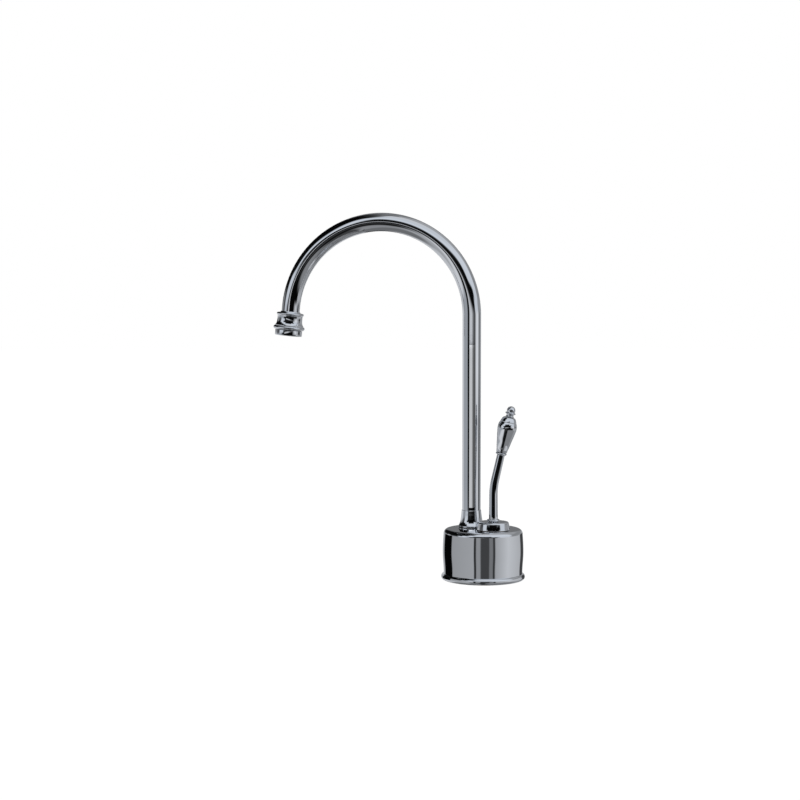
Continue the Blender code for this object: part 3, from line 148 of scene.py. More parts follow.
def softened(outline: Sequence[Point], radius: float, steps: int = 4) -> Outline:
    """Rounds the corners of a closed outline, as a polisher's wheel does.

    Args:
        outline: the closed outline, with points on the axis left sharp.
        radius: the radius that the corners get where their sides are long enough.
        steps: how many chords stand for a rounded corner.

    Returns:
        The outline with each corner of more than 20 degrees rounded.
    """
    result: Outline = []
    count = len(outline)
    for index, here in enumerate(outline):
        corner = Vector(here)
        before = Vector(outline[index - 1]) - corner
        after = Vector(outline[(index + 1) % count]) - corner
        if before.length == 0 or after.length == 0:
            continue
        bend = math.pi - before.angle(after)
        if here[0] < 1e-7 or bend < math.radians(20):
            result.append(tuple(here))
            continue
        reach = min(radius * math.tan(bend / 2), 0.42 * before.length, 0.42 * after.length)
        start = corner + before.normalized() * reach
        end = corner + after.normalized() * reach
        for step in range(steps + 1):
            t = step / steps
            place = start * (1 - t) ** 2 + corner * (2 * t * (1 - t)) + end * t**2
            result.append((place.x, place.y))
    return result


def ring_outline(inner: float, outer: float, bottom: float, top: float) -> Outline:
    """Returns the outline of a plain ring, or of a disc where the inner radius is zero."""
    return [(inner, bottom), (outer, bottom), (outer, top), (inner, top)]


def polygon(radius: float, sides: int, centre: Point = (0, 0)) -> list[Point]:
    """Returns the corners of a regular polygon in the XY plane."""
    return arc(centre, radius, 0, 360, sides)[:-1]


def linked(name: str, data: Any) -> bpy.types.Object:
    """Makes an object of some data and puts it in the scene."""
    piece = bpy.data.objects.new(name, data)
    bpy.context.scene.collection.objects.link(piece)
    return piece


def plain_mesh(piece: bpy.types.Object) -> bpy.types.Object:
    """Bakes a piece's modifiers into its mesh.

    Args:
        piece: the object whose modifiers are done with.

    Returns:
        The same object with a plain mesh and no modifiers.
    """
    bpy.context.view_layer.update()
    evaluated = piece.evaluated_get(bpy.context.evaluated_depsgraph_get())
    mesh = bpy.data.meshes.new_from_object(evaluated)
    mesh.name = piece.name
    if piece.type == "MESH":
        piece.modifiers.clear()
        piece.data = mesh
        return piece
    name = piece.name
    bpy.data.objects.remove(piece, do_unlink=True)
    return linked(name, mesh)


def object_of(name: str, mesh: bmesh.types.BMesh, place: Optional[Matrix] = None) -> bpy.types.Object:
    """Makes an object whose place is in its mesh.

    Args:
        name: the object's name.
        mesh: the shape, which is used up.
        place: where the shape goes, or None where it is in place.

    Returns:
        The new object, at the origin, with its faces outwards.
    """
    if place is not None:
        bmesh.ops.transform(mesh, matrix=place, verts=mesh.verts)
    bmesh.ops.recalc_face_normals(mesh, faces=mesh.faces)
    data = bpy.data.meshes.new(name)
    mesh.to_mesh(data)
    mesh.free()
    return linked(name, data)


def lathe(outline: Sequence[Point], sides: int) -> bmesh.types.BMesh:
    """Spins a closed outline round the Z axis.

    Args:
        outline: (radius, height) points.
        sides: how many steps the turn has.

    Returns:
        The closed shape.
    """
    mesh = bmesh.new()
    points = [mesh.verts.new((radius, 0, height)) for radius, height in outline]
    edges = [mesh.edges.new((a, b)) for a, b in zip(points, points[1:] + points[:1])]
    bmesh.ops.spin(mesh, geom=points + edges, cent=(0, 0, 0), axis=(0, 0, 1), angle=math.tau, steps=sides)
    bmesh.ops.remove_doubles(mesh, verts=mesh.verts, dist=1e-7)
    bmesh.ops.dissolve_degenerate(mesh, edges=mesh.edges, dist=1e-7)
    return mesh


def prism(outline: Iterable[Point], bottom: float, top: float) -> bmesh.types.BMesh:
    """Extrudes a flat outline upwards and returns the closed shape."""
    mesh = bmesh.new()
    floor = mesh.faces.new([mesh.verts.new((x, y, bottom)) for x, y in outline])
    grown = bmesh.ops.extrude_face_region(mesh, geom=[floor])
    raised = [part for part in grown["geom"] if isinstance(part, bmesh.types.BMVert)]
    bmesh.ops.translate(mesh, verts=raised, vec=(0, 0, top - bottom))
    return mesh


def combine(
    piece: bpy.types.Object, others: Sequence[bmesh.types.BMesh], operation: str = "DIFFERENCE"
) -> bpy.types.Object:
    """Cuts shapes out of a piece, or joins or intersects them with it.

    Args:
        piece: the object to change.
        others: the shapes, which are used up.
        operation: DIFFERENCE, UNION or INTERSECT.

    Returns:
        The same object with a plain mesh.
    """
    tools = [object_of(f"{piece.name}_tool", other) for other in others]
    for tool in tools:
        modifier = piece.modifiers.new(tool.name, "BOOLEAN")
        modifier.operation = operation
        modifier.solver = "EXACT"
        modifier.object = tool
    plain_mesh(piece)
    for tool in tools:
        bpy.data.objects.remove(tool, do_unlink=True)
    return piece


def turned(
    name: str, outline: Sequence[Point], rounding: float, sides: int, place: Optional[Matrix] = None
) -> bpy.types.Object:
    """Turns a piece from an outline with softened corners.

    Args:
        name: the object's name.
        outline: (radius, height) points.
        rounding: the radius of its softened corners.
        sides: how many steps the turn has.
        place: where the piece goes, or None where it is in place.

    Returns:
        The new object.
    """
    return object_of(name, lathe(softened(outline, rounding), sides), place)


def drill(start: Vector, end: Vector, radius: float, sides: int = 32) -> bmesh.types.BMesh:
    """Returns the shape of a round hole between two points."""
    mesh = prism(polygon(radius, sides), 0, (end - start).length)
    turn = Vector((0, 0, 1)).rotation_difference(end - start).to_matrix().to_4x4()
    bmesh.ops.transform(mesh, matrix=Matrix.Translation(start) @ turn, verts=mesh.verts)
    return mesh


def smooth(piece: bpy.types.Object, angle: float, weighted: bool) -> None:
    """Shades a piece smooth, with its true corners kept and its flats flat.

    Args:
        piece: the finished piece.
        angle: the bend in degrees from which an edge stays a corner.
        weighted: whether large flat faces set the normals at their rims.
    """
    piece.data.shade_smooth()
    piece.data.set_sharp_from_angle(angle=math.radians(angle))
    if weighted:
        modifier = piece.modifiers.new("normals", "WEIGHTED_NORMAL")
        modifier.keep_sharp = True
        modifier.weight = 80
        plain_mesh(piece)


@dataclass
class Tree:
    """A node tree that is written from left to right.

    Args:
        nodes: the tree's nodes.
        links: the tree's links.
    """

    nodes: Any
    links: Any

    def add(self, kind: str, values: Optional[dict[Any, Any]] = None, **settings: Any) -> Any:
        """Adds a node and fills its sockets.

        Args:
            kind: the node's type.
            values: a socket's name or number, and a constant or another node's output for it.
            **settings: the node's own settings.

        Returns:
            The new node.
        """
        node = self.nodes.new(kind)
        for name, value in settings.items():
            setattr(node, name, value)
        for socket, value in (values or {}).items():
            target = node.inputs[socket]
            if isinstance(value, bpy.types.NodeSocket):
                self.links.new(value, target)
            else:
                target.default_value = value
        return node

    def math(self, operation: str, *values: Any) -> Any:
        """Adds a Math node and returns its output."""
        return self.add("ShaderNodeMath", dict(enumerate(values)), operation=operation).outputs[0]

    def noise(self, place: Any, scale: Any, detail: float, roughness: float = 0.5) -> Any:
        """Adds a noise texture and returns its grey output."""
        values = {"Vector": place, "Scale": scale, "Detail": detail, "Roughness": roughness}
        return self.add("ShaderNodeTexNoise", values).outputs["Fac"]

    def mixed_colour(self, share: Any, first: Any, second: Any) -> Any:
        """Mixes two colours by a share of the second and returns the mix."""
        mix = self.add("ShaderNodeMix", data_type="RGBA")
        for source, target in ((share, mix.inputs["Factor"]), (first, mix.inputs[6]), (second, mix.inputs[7])):
            self.links.new(source, target)
        return mix.outputs[2]

    def mixed_shader(self, share: Any, first: Any, second: Any) -> Any:
        """Mixes the outputs of two shaders by a share of the second."""
        return self.add("ShaderNodeMixShader", {0: share, 1: first, 2: second}).outputs[0]


def new_group(
    name: str, inputs: dict[str, tuple[str, Any]], outputs: dict[str, str], kind: str = "ShaderNodeTree"
) -> tuple[Any, Tree, Any, Any]:
    """Starts a node group with named sockets.

    Args:
        name: the group's name.
        inputs: each input's socket type and default.
        outputs: each output's socket type.
        kind: the type of its tree.

    Returns:
        The group, its tree, and its input and output nodes.
    """
    group = bpy.data.node_groups.new(name, kind)
    for label, (socket_type, default) in inputs.items():
        socket = group.interface.new_socket(label, in_out="INPUT", socket_type=socket_type)
        if default is not None:
            socket.default_value = default
    for label, socket_type in outputs.items():
        group.interface.new_socket(label, in_out="OUTPUT", socket_type=socket_type)
    tree = Tree(group.nodes, group.links)
    return group, tree, tree.add("NodeGroupInput"), tree.add("NodeGroupOutput")


def haze_group() -> Any:
    """Builds the group that varies a value over the surface, as handling and wiping do.

    Returns:
        The group, with the inputs Vector, Scale, Low and High and the output Value.
    """
    group, tree, entry, leave = new_group(
        "Handling Haze",
        {"Vector": (VECTOR, None), "Scale": (FLOAT, 90.0), "Low": (FLOAT, 0.02), "High": (FLOAT, 0.06)},
        {"Value": FLOAT},
    )
    place, scale = entry.outputs["Vector"], entry.outputs["Scale"]
    wide = tree.noise(place, scale, 4.0, 0.6)
    fine = tree.noise(place, tree.math("MULTIPLY", scale, 9.0), 2.0)
    spread = tree.add(
        "ShaderNodeMapRange",
        {
            "Value": tree.math("MULTIPLY", wide, fine),
            "From Min": 0.14,
            "From Max": 0.38,
            "To Min": entry.outputs["Low"],
            "To Max": entry.outputs["High"],
        },
    )
    tree.links.new(spread.outputs["Result"], leave.inputs["Value"])
    return group


def turning_group() -> Any:
    """Builds the group for the fine rings that a lathe tool leaves.

    Returns:
        The group, with the inputs Vector and Spacing and the output Height.
    """
    group, tree, entry, leave = new_group(
        "Turning Marks", {"Vector": (VECTOR, None), "Spacing": (FLOAT, 0.0003)}, {"Height": FLOAT}
    )
    place = entry.outputs["Vector"]
    scale = tree.math("DIVIDE", 0.314, entry.outputs["Spacing"])
    wave = tree.add(
        "ShaderNodeTexWave",
        {"Vector": place, "Scale": scale, "Distortion": 0.6, "Detail": 2.0},
        wave_type="BANDS",
        bands_direction="Z",
    )
    chatter = tree.noise(place, 900.0, 3.0)
    tree.links.new(tree.math("MULTIPLY", wave.outputs["Fac"], chatter), leave.inputs["Height"])
    return group


def tarnish_group() -> Any:
    """Builds the group that mixes a clean and a dulled colour in soft blotches.

    Returns:
        The group, with the inputs Vector, Clean, Dull, Scale and Amount and the output Color.
    """
    group, tree, entry, leave = new_group(
        "Tarnish",
        {
            "Vector": (VECTOR, None),
            "Clean": (COLOUR, (1, 1, 1, 1)),
            "Dull": (COLOUR, (0.5, 0.5, 0.5, 1)),
            "Scale": (FLOAT, 60.0),
            "Amount": (FLOAT, 0.5),
        },
        {"Color": COLOUR},
    )
    noise = tree.noise(entry.outputs["Vector"], entry.outputs["Scale"], 6.0, 0.65)
    blotch = tree.add("ShaderNodeMapRange", {"Value": noise, "From Min": 0.38, "From Max": 0.68})
    share = tree.math("MULTIPLY", blotch.outputs["Result"], entry.outputs["Amount"])
    mixed = tree.mixed_colour(share, entry.outputs["Clean"], entry.outputs["Dull"])
    tree.links.new(mixed, leave.inputs["Color"])
    return group


@dataclass
class SharedGroups:
    """The effects that more than one finish uses, each built once."""

    haze: Any = field(default_factory=haze_group)
    turning: Any = field(default_factory=turning_group)
    tarnish: Any = field(default_factory=tarnish_group)


def emptied_tree(owner: Any) -> Tree:
    """Turns on the nodes of a material or a world and empties them."""
    owner.use_nodes = True
    tree = Tree(owner.node_tree.nodes, owner.node_tree.links)
    tree.nodes.clear()
    return tree


@dataclass(frozen=True)
class Finish:
    """How one kind of surface looks.

    Args:
        slot: the record's slot.
        clean: the colour of the clean surface.
        dull: the colour that it takes where it is handled or tarnished.
        dull_share: how far it goes towards the dull colour.
        metallic: 1 for a metal.
        smoothest: the lowest roughness on it.
        roughest: the highest roughness on it.
        haze_scale: how fine its roughness varies, per metre.
        marks: what the tool left on it.
        mark_spacing: the spacing of turned rings.
        mark_depth: the depth that the bump stands for.
    """

    slot: Slot
    clean: Colour
    dull: Colour
    dull_share: float
    metallic: float
    smoothest: float
    roughest: float
    haze_scale: float
    marks: Marks
    mark_spacing: float = 0.3 * MM
    mark_depth: float = 0.01 * MM

    def build(self, groups: SharedGroups) -> bpy.types.Material:
        """Builds the material.

        Args:
            groups: the shader groups that it is put together from.

        Returns:
            The material, which reads Object coordinates.
        """
        material = bpy.data.materials.new(self.slot.value)
        material.use_nodes = True
        material.diffuse_color = (*self.clean, 1)
        tree = Tree(material.node_tree.nodes, material.node_tree.links)
        shader = tree.nodes["Principled BSDF"]
        shader.inputs["Metallic"].default_value = self.metallic
        place = tree.add("ShaderNodeTexCoord").outputs["Object"]
        tarnish = {
            "Vector": place,
            "Clean": (*self.clean, 1),
            "Dull": (*self.dull, 1),
            "Scale": self.haze_scale * 0.6,
            "Amount": self.dull_share,
        }
        colour = tree.add("ShaderNodeGroup", tarnish, node_tree=groups.tarnish)
        tree.links.new(colour.outputs["Color"], shader.inputs["Base Color"])
        handled = {
            "Vector": place, "Scale": self.haze_scale, "Low": self.smoothest, "High": self.roughest
        }
        haze = tree.add("ShaderNodeGroup", handled, node_tree=groups.haze)
        tree.links.new(haze.outputs["Value"], shader.inputs["Roughness"])
        height = self.height(tree, groups, place)
        if height is not None:
            bump = tree.add("ShaderNodeBump", {"Height": height, "Distance": self.mark_depth, "Strength": 1.0})
            tree.links.new(bump.outputs["Normal"], shader.inputs["Normal"])
        return material

    def height(self, tree: Tree, groups: SharedGroups, place: Any) -> Optional[Any]:
        """Adds the nodes for the tool's marks.

        Args:
            tree: the material's tree.
            groups: the shared groups.
            place: the coordinates that the marks follow.

        Returns:
            The height's socket, or None for a surface with no marks.
        """
        if self.marks is Marks.TURNED:
            spacing = {"Vector": place, "Spacing": self.mark_spacing}
            return tree.add("ShaderNodeGroup", spacing, node_tree=groups.turning).outputs["Height"]
        if self.marks is Marks.NONE:
            return None
        return tree.noise(place, 70.0 if self.marks is Marks.POLISH else 2500.0, 1.0)


FINISHES = (
    Finish(Slot.CHROME, (0.74, 0.76, 0.79), (0.70, 0.72, 0.75), 0.35, 1.0, 0.018, 0.05, 110.0,
           Marks.POLISH, mark_depth=0.004 * MM),
    Finish(Slot.BRASS, (0.78, 0.58, 0.27), (0.50, 0.34, 0.15), 0.6, 1.0, 0.2, 0.42, 160.0, Marks.TURNED),
    Finish(Slot.STEEL, (0.60, 0.60, 0.59), (0.45, 0.44, 0.43), 0.5, 1.0, 0.22, 0.4, 200.0, Marks.TURNED),
    Finish(Slot.RUBBER, (0.028, 0.028, 0.03), (0.06, 0.058, 0.055), 0.6, 0.0, 0.55, 0.8, 240.0, Marks.MOULDED,
           mark_depth=0.02 * MM),
    Finish(Slot.ACETAL, (0.82, 0.82, 0.79), (0.74, 0.73, 0.68), 0.5, 0.0, 0.35, 0.55, 180.0, Marks.MOULDED,
           mark_depth=0.006 * MM),
    Finish(Slot.CERAMIC, (0.88, 0.87, 0.84), (0.80, 0.79, 0.75), 0.4, 0.0, 0.08, 0.2, 150.0, Marks.NONE),
)


@dataclass
class Wardrobe:
    """The materials by slot, and how a piece takes one.

    Args:
        materials: the built material of each slot.
    """

    materials: dict[Slot, bpy.types.Material]

    @classmethod
    def of(cls, finishes: Iterable[Finish]) -> "Wardrobe":
        """Builds every finish once."""
        groups = SharedGroups()
        return cls({finish.slot: finish.build(groups) for finish in finishes})

    def dress(
        self, piece: bpy.types.Object, slot: Slot, body: Body, *nodes: str, angle: float = 32, weighted: bool = True
    ) -> None:
        """Shades a new piece, gives it its finish, and puts it on its body in place of the plain nodes.

        Args:
            piece: the finished piece.
            slot: the slot that its finish comes from.
            body: the body that it moves with.
            *nodes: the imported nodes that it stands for.
            angle: the bend in degrees from which an edge stays a corner.
            weighted: whether large flat faces set the normals at their rims.
        """
        smooth(piece, angle, weighted)
        piece.data.materials.clear()
        piece.data.materials.append(self.materials[slot])
        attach(piece, body.value)
        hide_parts(*nodes)
        LOG.info("%s: %d faces on %s", piece.name, len(piece.data.polygons), body.value)

    def dress_kept_nodes(self, kept: Iterable[str]) -> None:
        """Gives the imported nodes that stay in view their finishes."""
        slots = {entry["node"]: entry["material_slot"] for entry in frame["record"]["subparts"]}
        for name in kept:
            node = frame["nodes"][name]
            material = self.materials[Slot(slots[name])]
            if not node.material_slots:
                node.data.materials.append(material)
            for holder in node.material_slots:
                holder.material = material
            LOG.info("%s: kept", name)


def geometry_tree(name: str, inputs: dict[str, tuple[str, Any]]) -> tuple[Any, Tree, Any, Any]:
    """Starts a geometry tree with a geometry input and output, named sizes and a material.

    Args:
        name: the tree's name.
        inputs: each size's socket type and default.

    Returns:
        The tree's data, the tree to write in, and its input and output nodes.
    """
    sockets = {"Geometry": (GEOMETRY, None), **inputs, "Material": (MATERIAL, None)}
    return new_group(name, sockets, {"Geometry": GEOMETRY}, "GeometryNodeTree")


def close_tree(tree: Tree, geometry: Any, entry: Any, leave: Any) -> None:
    """Ends a tree in Realize Instances and Set Material."""
    real = tree.add("GeometryNodeRealizeInstances", {"Geometry": geometry})
    dressed = tree.add(
        "GeometryNodeSetMaterial",
        {"Geometry": real.outputs["Geometry"], "Material": entry.outputs["Material"]},
    )
    tree.links.new(dressed.outputs["Geometry"], leave.inputs["Geometry"])


def run_tree(piece: bpy.types.Object, group: Any, values: dict[str, Any]) -> bpy.types.Object:
    """Runs a geometry tree on an object and keeps the result as a plain mesh.

    Args:
        piece: the object that the tree changes.
        group: the tree's data.
        values: the value of each named input.

    Returns:
        The object with the result.
    """
    modifier = piece.modifiers.new(group.name, "NODES")
    modifier.node_group = group
    sockets = {item.name: item.identifier for item in group.interface.items_tree if item.in_out == "INPUT"}
    for label, value in values.items():
        modifier[sockets[label]] = value
    return plain_mesh(piece)


def swept_tube_tree() -> Any:
    """Builds the tree that sweeps a tube with its bore along a path.

    Returns:
        The tree, with the inputs Radius, Bore, Sides and Material.
    """
    group, tree, entry, leave = geometry_tree(
        "Swept Tube", {"Radius": (FLOAT, 0.006), "Bore": (FLOAT, 0.005), "Sides": (WHOLE, 96)}
    )
    walls = []
    for size in ("Radius", "Bore"):
        circle = tree.add(
            "GeometryNodeCurvePrimitiveCircle",
            {"Resolution": entry.outputs["Sides"], "Radius": entry.outputs[size]},
        )
        wall = tree.add(
            "GeometryNodeCurveToMesh",
            {"Curve": entry.outputs["Geometry"], "Profile Curve": circle.outputs["Curve"]},
        )
        walls.append(wall.outputs["Mesh"])
    turned = tree.add("GeometryNodeFlipFaces", {"Mesh": walls[1]})
    joined = tree.add("GeometryNodeJoinGeometry")
    tree.links.new(turned.outputs["Mesh"], joined.inputs["Geometry"])
    tree.links.new(walls[0], joined.inputs["Geometry"])
    close_tree(tree, joined.outputs["Geometry"], entry, leave)
    return group


def thread_tree() -> Any:
    """Builds the tree that winds a screw thread round a core.

    Returns:
        The tree, with the inputs Turns, Radius, Height, Start, Depth and Material.
    """
    group, tree, entry, leave = geometry_tree(
        "Screw Thread",
        {
            "Turns": (FLOAT, 40.0),
            "Radius": (FLOAT, 0.005),
            "Height": (FLOAT, 0.05),
            "Start": (FLOAT, 0.0),
            "Depth": (FLOAT, 0.0004),
        },
    )
    helix = tree.add(
        "GeometryNodeCurveSpiral",
        {
            "Resolution": 48,
            "Rotations": entry.outputs["Turns"],
            "Start Radius": entry.outputs["Radius"],
            "End Radius": entry.outputs["Radius"],
            "Height": entry.outputs["Height"],
        },
    )
    lift = tree.add("ShaderNodeCombineXYZ", {"Z": entry.outputs["Start"]})
    placed = tree.add(
        "GeometryNodeTransform", {"Geometry": helix.outputs["Curve"], "Translation": lift.outputs["Vector"]}
    )
    section = tree.add("GeometryNodeCurvePrimitiveCircle", {"Resolution": 4, "Radius": entry.outputs["Depth"]})
    ridge = tree.add(
        "GeometryNodeCurveToMesh",
        {"Curve": placed.outputs["Geometry"], "Profile Curve": section.outputs["Curve"], "Fill Caps": True},
    )
    joined = tree.add("GeometryNodeJoinGeometry")
    tree.links.new(ridge.outputs["Mesh"], joined.inputs["Geometry"])
    tree.links.new(entry.outputs["Geometry"], joined.inputs["Geometry"])
    close_tree(tree, joined.outputs["Geometry"], entry, leave)
    return group


def perforation_tree() -> Any:
    """Builds the tree that punches a honeycomb of round holes in a disc.

    Returns:
        The tree, with the inputs Count, Pitch, Hole Radius, Reach, Depth and Material.
    """
    group, tree, entry, leave = geometry_tree(
        "Perforations",
        {
            "Count": (WHOLE, 9),
            "Pitch": (FLOAT, 0.002),
            "Hole Radius": (FLOAT, 0.0008),
            "Reach": (FLOAT, 0.005),
            "Depth": (FLOAT, 0.02),
        },
    )
    gaps = tree.math("SUBTRACT", entry.outputs["Count"], 1.0)
    width = tree.math("MULTIPLY", gaps, entry.outputs["Pitch"])
    rows = tree.math("MULTIPLY", width, math.sqrt(3) / 2)
    grid = tree.add(
        "GeometryNodeMeshGrid",
        {
            "Size X": width,
            "Size Y": rows,
            "Vertices X": entry.outputs["Count"],
            "Vertices Y": entry.outputs["Count"],
        },
    )
    index = tree.add("GeometryNodeInputIndex").outputs["Index"]
    row = tree.math("FLOORED_MODULO", index, entry.outputs["Count"])
    odd = tree.math("FLOORED_MODULO", row, 2.0)
    half = tree.math("MULTIPLY", entry.outputs["Pitch"], 0.5)
    shift = tree.math("MULTIPLY", odd, half)
    offset = tree.add("ShaderNodeCombineXYZ", {"X": shift})
    moved = tree.add(
        "GeometryNodeSetPosition", {"Geometry": grid.outputs["Mesh"], "Offset": offset.outputs["Vector"]}
    )
    position = tree.add("GeometryNodeInputPosition").outputs["Position"]
    length = tree.add("ShaderNodeVectorMath", {0: position}, operation="LENGTH").outputs["Value"]
    outside = tree.math("GREATER_THAN", length, entry.outputs["Reach"])
    kept = tree.add(
        "GeometryNodeDeleteGeometry", {"Geometry": moved.outputs["Geometry"], "Selection": outside}
    )
    pin = tree.add(
        "GeometryNodeMeshCylinder",
        {"Vertices": 12, "Radius": entry.outputs["Hole Radius"], "Depth": entry.outputs["Depth"]},
    )
    pins = tree.add(
        "GeometryNodeInstanceOnPoints", {"Points": kept.outputs["Geometry"], "Instance": pin.outputs["Mesh"]}
    )
    real = tree.add("GeometryNodeRealizeInstances", {"Geometry": pins.outputs["Instances"]})
    punched = tree.add("GeometryNodeMeshBoolean", operation="DIFFERENCE")
    punched.solver = "EXACT"
    tree.links.new(entry.outputs["Geometry"], punched.inputs["Mesh 1"])
    tree.links.new(real.outputs["Geometry"], punched.inputs["Mesh 2"])
    close_tree(tree, punched.outputs["Mesh"], entry, leave)
    return group


def path_object(name: str, points: Sequence[Vector]) -> bpy.types.Object:
    """Makes a curve object of straight runs between points.

    Args:
        name: the object's name.
        points: the points, in order.

    Returns:
        The curve object.
    """
    curve = bpy.data.curves.new(name, "CURVE")
    curve.dimensions = "3D"
    curve.twist_mode = "MINIMUM"
    spline = curve.splines.new("POLY")
    spline.points.add(len(points) - 1)
    for target, point in zip(spline.points, points):
        target.co = (*point, 1)
    return linked(name, curve)


def close_tube_ends(piece: bpy.types.Object) -> None:
    """Joins a swept tube's outer wall to its bore at both ends."""
    mesh = bmesh.new()
    mesh.from_mesh(piece.data)
    loops: list[set[Any]] = []
    waiting = {edge for edge in mesh.edges if edge.is_boundary}
    while waiting:
        loop, front = set(), [waiting.pop()]
        while front:
            edge = front.pop()
            loop.add(edge)
            near = {other for point in edge.verts for other in point.link_edges if other in waiting}
            waiting -= near
            front += near
        loops.append(loop)
    centres = [sum((edge.verts[0].co for edge in loop), Vector()) / len(loop) for loop in loops]
    for index, loop in enumerate(loops):
        for other in range(index + 1, len(loops)):
            if (centres[index] - centres[other]).length < 1 * MM:
                bmesh.ops.bridge_loops(mesh, edges=[*loop, *loops[other]])
    bmesh.ops.recalc_face_normals(mesh, faces=mesh.faces)
    mesh.to_mesh(piece.data)
    mesh.free()


@dataclass
class Layout:
    """Where the two upright axes stand.

    Args:
        turn: how far the line through both axes is turned, in degrees.
        spout_offset: how far the swivel stands from the base's axis.
        valve_offset: how far the valve stands from it on the other side.
    """

    turn: float = 35.0
    spout_offset: float = 11.4 * MM
    valve_offset: float = 9.8 * MM

    def along(self, offset: float) -> Vector:
        """Returns the place at a distance towards the valve."""
        turn = math.radians(self.turn)
        return Vector((offset * math.cos(turn), -offset * math.sin(turn), 0))

    @property
    def spout(self) -> Vector:
        """Where the swivel's axis meets the deck."""
        return self.along(-self.spout_offset)

    @property
    def valve(self) -> Vector:
        """Where the valve's axis meets the deck."""
        return self.along(self.valve_offset)


@dataclass
class Base:
    """The chromed cover with what closes it below.

    Args:
        layout: where the axes stand.
        foot_radius: the widest radius of the beaded foot.
        bead_radius: the bead's half-round radius.
        waist_radius: the radius just above the bead.
        bulge_radius: the widest radius of the side.
        bulge_height: where the side is widest.
        shoulder_radius: the side's radius where the rounded edge starts.
        edge_radius: the rounded edge's radius.
        top: the height of the flat top.
        wall: the cover's thickness.
        spout_hole: the radius of the hole for the swivel.
        valve_hole: the radius of the hole for the valve.
        foot: the height of the foot's underside.
        sides: how many steps its turn has.
    """

    layout: Layout
    foot_radius: float = 28.575 * MM
    bead_radius: float = 2.2 * MM
    waist_radius: float = 26.85 * MM
    bulge_radius: float = 27.55 * MM
    bulge_height: float = 19.5 * MM
    shoulder_radius: float = 27.0 * MM
    edge_radius: float = 3.3 * MM
    top: float = 35.1 * MM
    wall: float = 1.8 * MM
    spout_hole: float = 8.0 * MM
    valve_hole: float = 8.2 * MM
    foot: float = 0.3 * MM
    sides: int = 192

    def outline(self) -> Outline:
        """Returns the cover's outline."""
        bead = (self.foot_radius - self.bead_radius, self.foot + self.bead_radius)
        bead_end = math.degrees(math.acos((self.waist_radius - bead[0]) / self.bead_radius))
        line = [(self.waist_radius - self.wall, self.foot)]
        line += arc(bead, self.bead_radius, -90, bead_end, 40)
        waist = line[-1][1]
        shoulder = self.top - self.edge_radius
        lower_steps, upper_steps = 30, 24
        for step in range(1, lower_steps + 1):
            share = step / lower_steps
            spread = (1 - math.cos(math.pi * share)) / 2
            radius = self.waist_radius + (self.bulge_radius - self.waist_radius) * spread
            line.append((radius, waist + (self.bulge_height - waist) * share))
        for step in range(1, upper_steps):
            share = step / upper_steps
            radius = self.shoulder_radius
            radius += (self.bulge_radius - self.shoulder_radius) * math.cos(math.pi / 2 * share)
            line.append((radius, self.bulge_height + (shoulder - self.bulge_height) * share))
        edge = (self.shoulder_radius - self.edge_radius, shoulder)
        line += arc(edge, self.edge_radius, 0, 90, 28)
        line += [(0, self.top), (0, self.top - self.wall)]
        line += arc(edge, self.edge_radius - self.wall, 90, 0, 8)
        line.append((self.waist_radius - self.wall, waist))
        return line

    def build(self, wardrobe: Wardrobe) -> None:
        """Builds and dresses the cover, gasket, plate and screws."""
        shell = object_of("base_cover", lathe(self.outline(), self.sides))
        low, high = self.top - 2 * self.wall, self.top + self.wall
        holes = []
        for place, radius in ((self.layout.spout, self.spout_hole), (self.layout.valve, self.valve_hole)):
            holes.append(prism(polygon(radius, 96, (place.x, place.y)), low, high))
        combine(shell, holes)
        wardrobe.dress(shell, Slot.CHROME, Body.BASE, "base_shell")
        self.build_gasket(wardrobe)
        self.build_plate(wardrobe)

    def build_gasket(self, wardrobe: Wardrobe) -> None:
        """Builds the rubber ring under the foot."""
        low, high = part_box("base_gasket")
        outline = [(SHANK_HOLE, low.z), (high.x - 1 * MM, low.z), (high.x, low.z + 1 * MM)]
        outline += [(high.x, high.z), (SHANK_HOLE, high.z)]
        gasket = turned("foot_gasket", outline, 0.4 * MM, 96)
        wardrobe.dress(gasket, Slot.RUBBER, Body.BASE, "base_gasket")

    def build_plate(self, wardrobe: Wardrobe) -> None:
        """Builds the base plate with its two recessed screws."""
        low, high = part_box("base_plate")
        plate = turned("closing_plate", ring_outline(SHANK_HOLE, high.x, low.z, high.z), 0.3 * MM, 96)
        tools = []
        for name in ("base_screw_front", "base_screw_rear"):
            screw_low, screw_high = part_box(name)
            centre = ((screw_low.x + screw_high.x) / 2, (screw_low.y + screw_high.y) / 2)
            tools.append(prism(polygon(1.8 * MM, 32, centre), 0, 10 * MM))
            tools.append(prism(polygon(3.05 * MM, 32, centre), 0, screw_low.z + 1.8 * MM))
            self.build_screw(wardrobe, name, centre, screw_low.z, screw_high.z)
        combine(plate, tools)
        wardrobe.dress(plate, Slot.STEEL, Body.BASE, "base_plate")

    def build_screw(self, wardrobe: Wardrobe, name: str, centre: Point, low: float, high: float) -> None:
        """Builds one socket-headed screw, head down.

        Args:
            wardrobe: gives the finish.
            name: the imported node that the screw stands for.
            centre: where its axis stands.
            low: the height of its head's face.
            high: the height of its tip.
        """
        outline = in_mm([(0, 0), (2.75, 0), (2.75, 1.5), (1.5, 1.5)], low)
        outline += in_mm([(1.5, -0.6), (0.9, 0), (0, 0)], high)
        place = Matrix.Translation(Vector((*centre, 0)))
        screw = turned(f"{name}_head", outline, 0.25 * MM, 48, place)
        combine(screw, [prism(polygon(1.1 * MM, 6, centre), low - PAST, low + 0.8 * MM)])
        wardrobe.dress(screw, Slot.STEEL, Body.BASE, name)


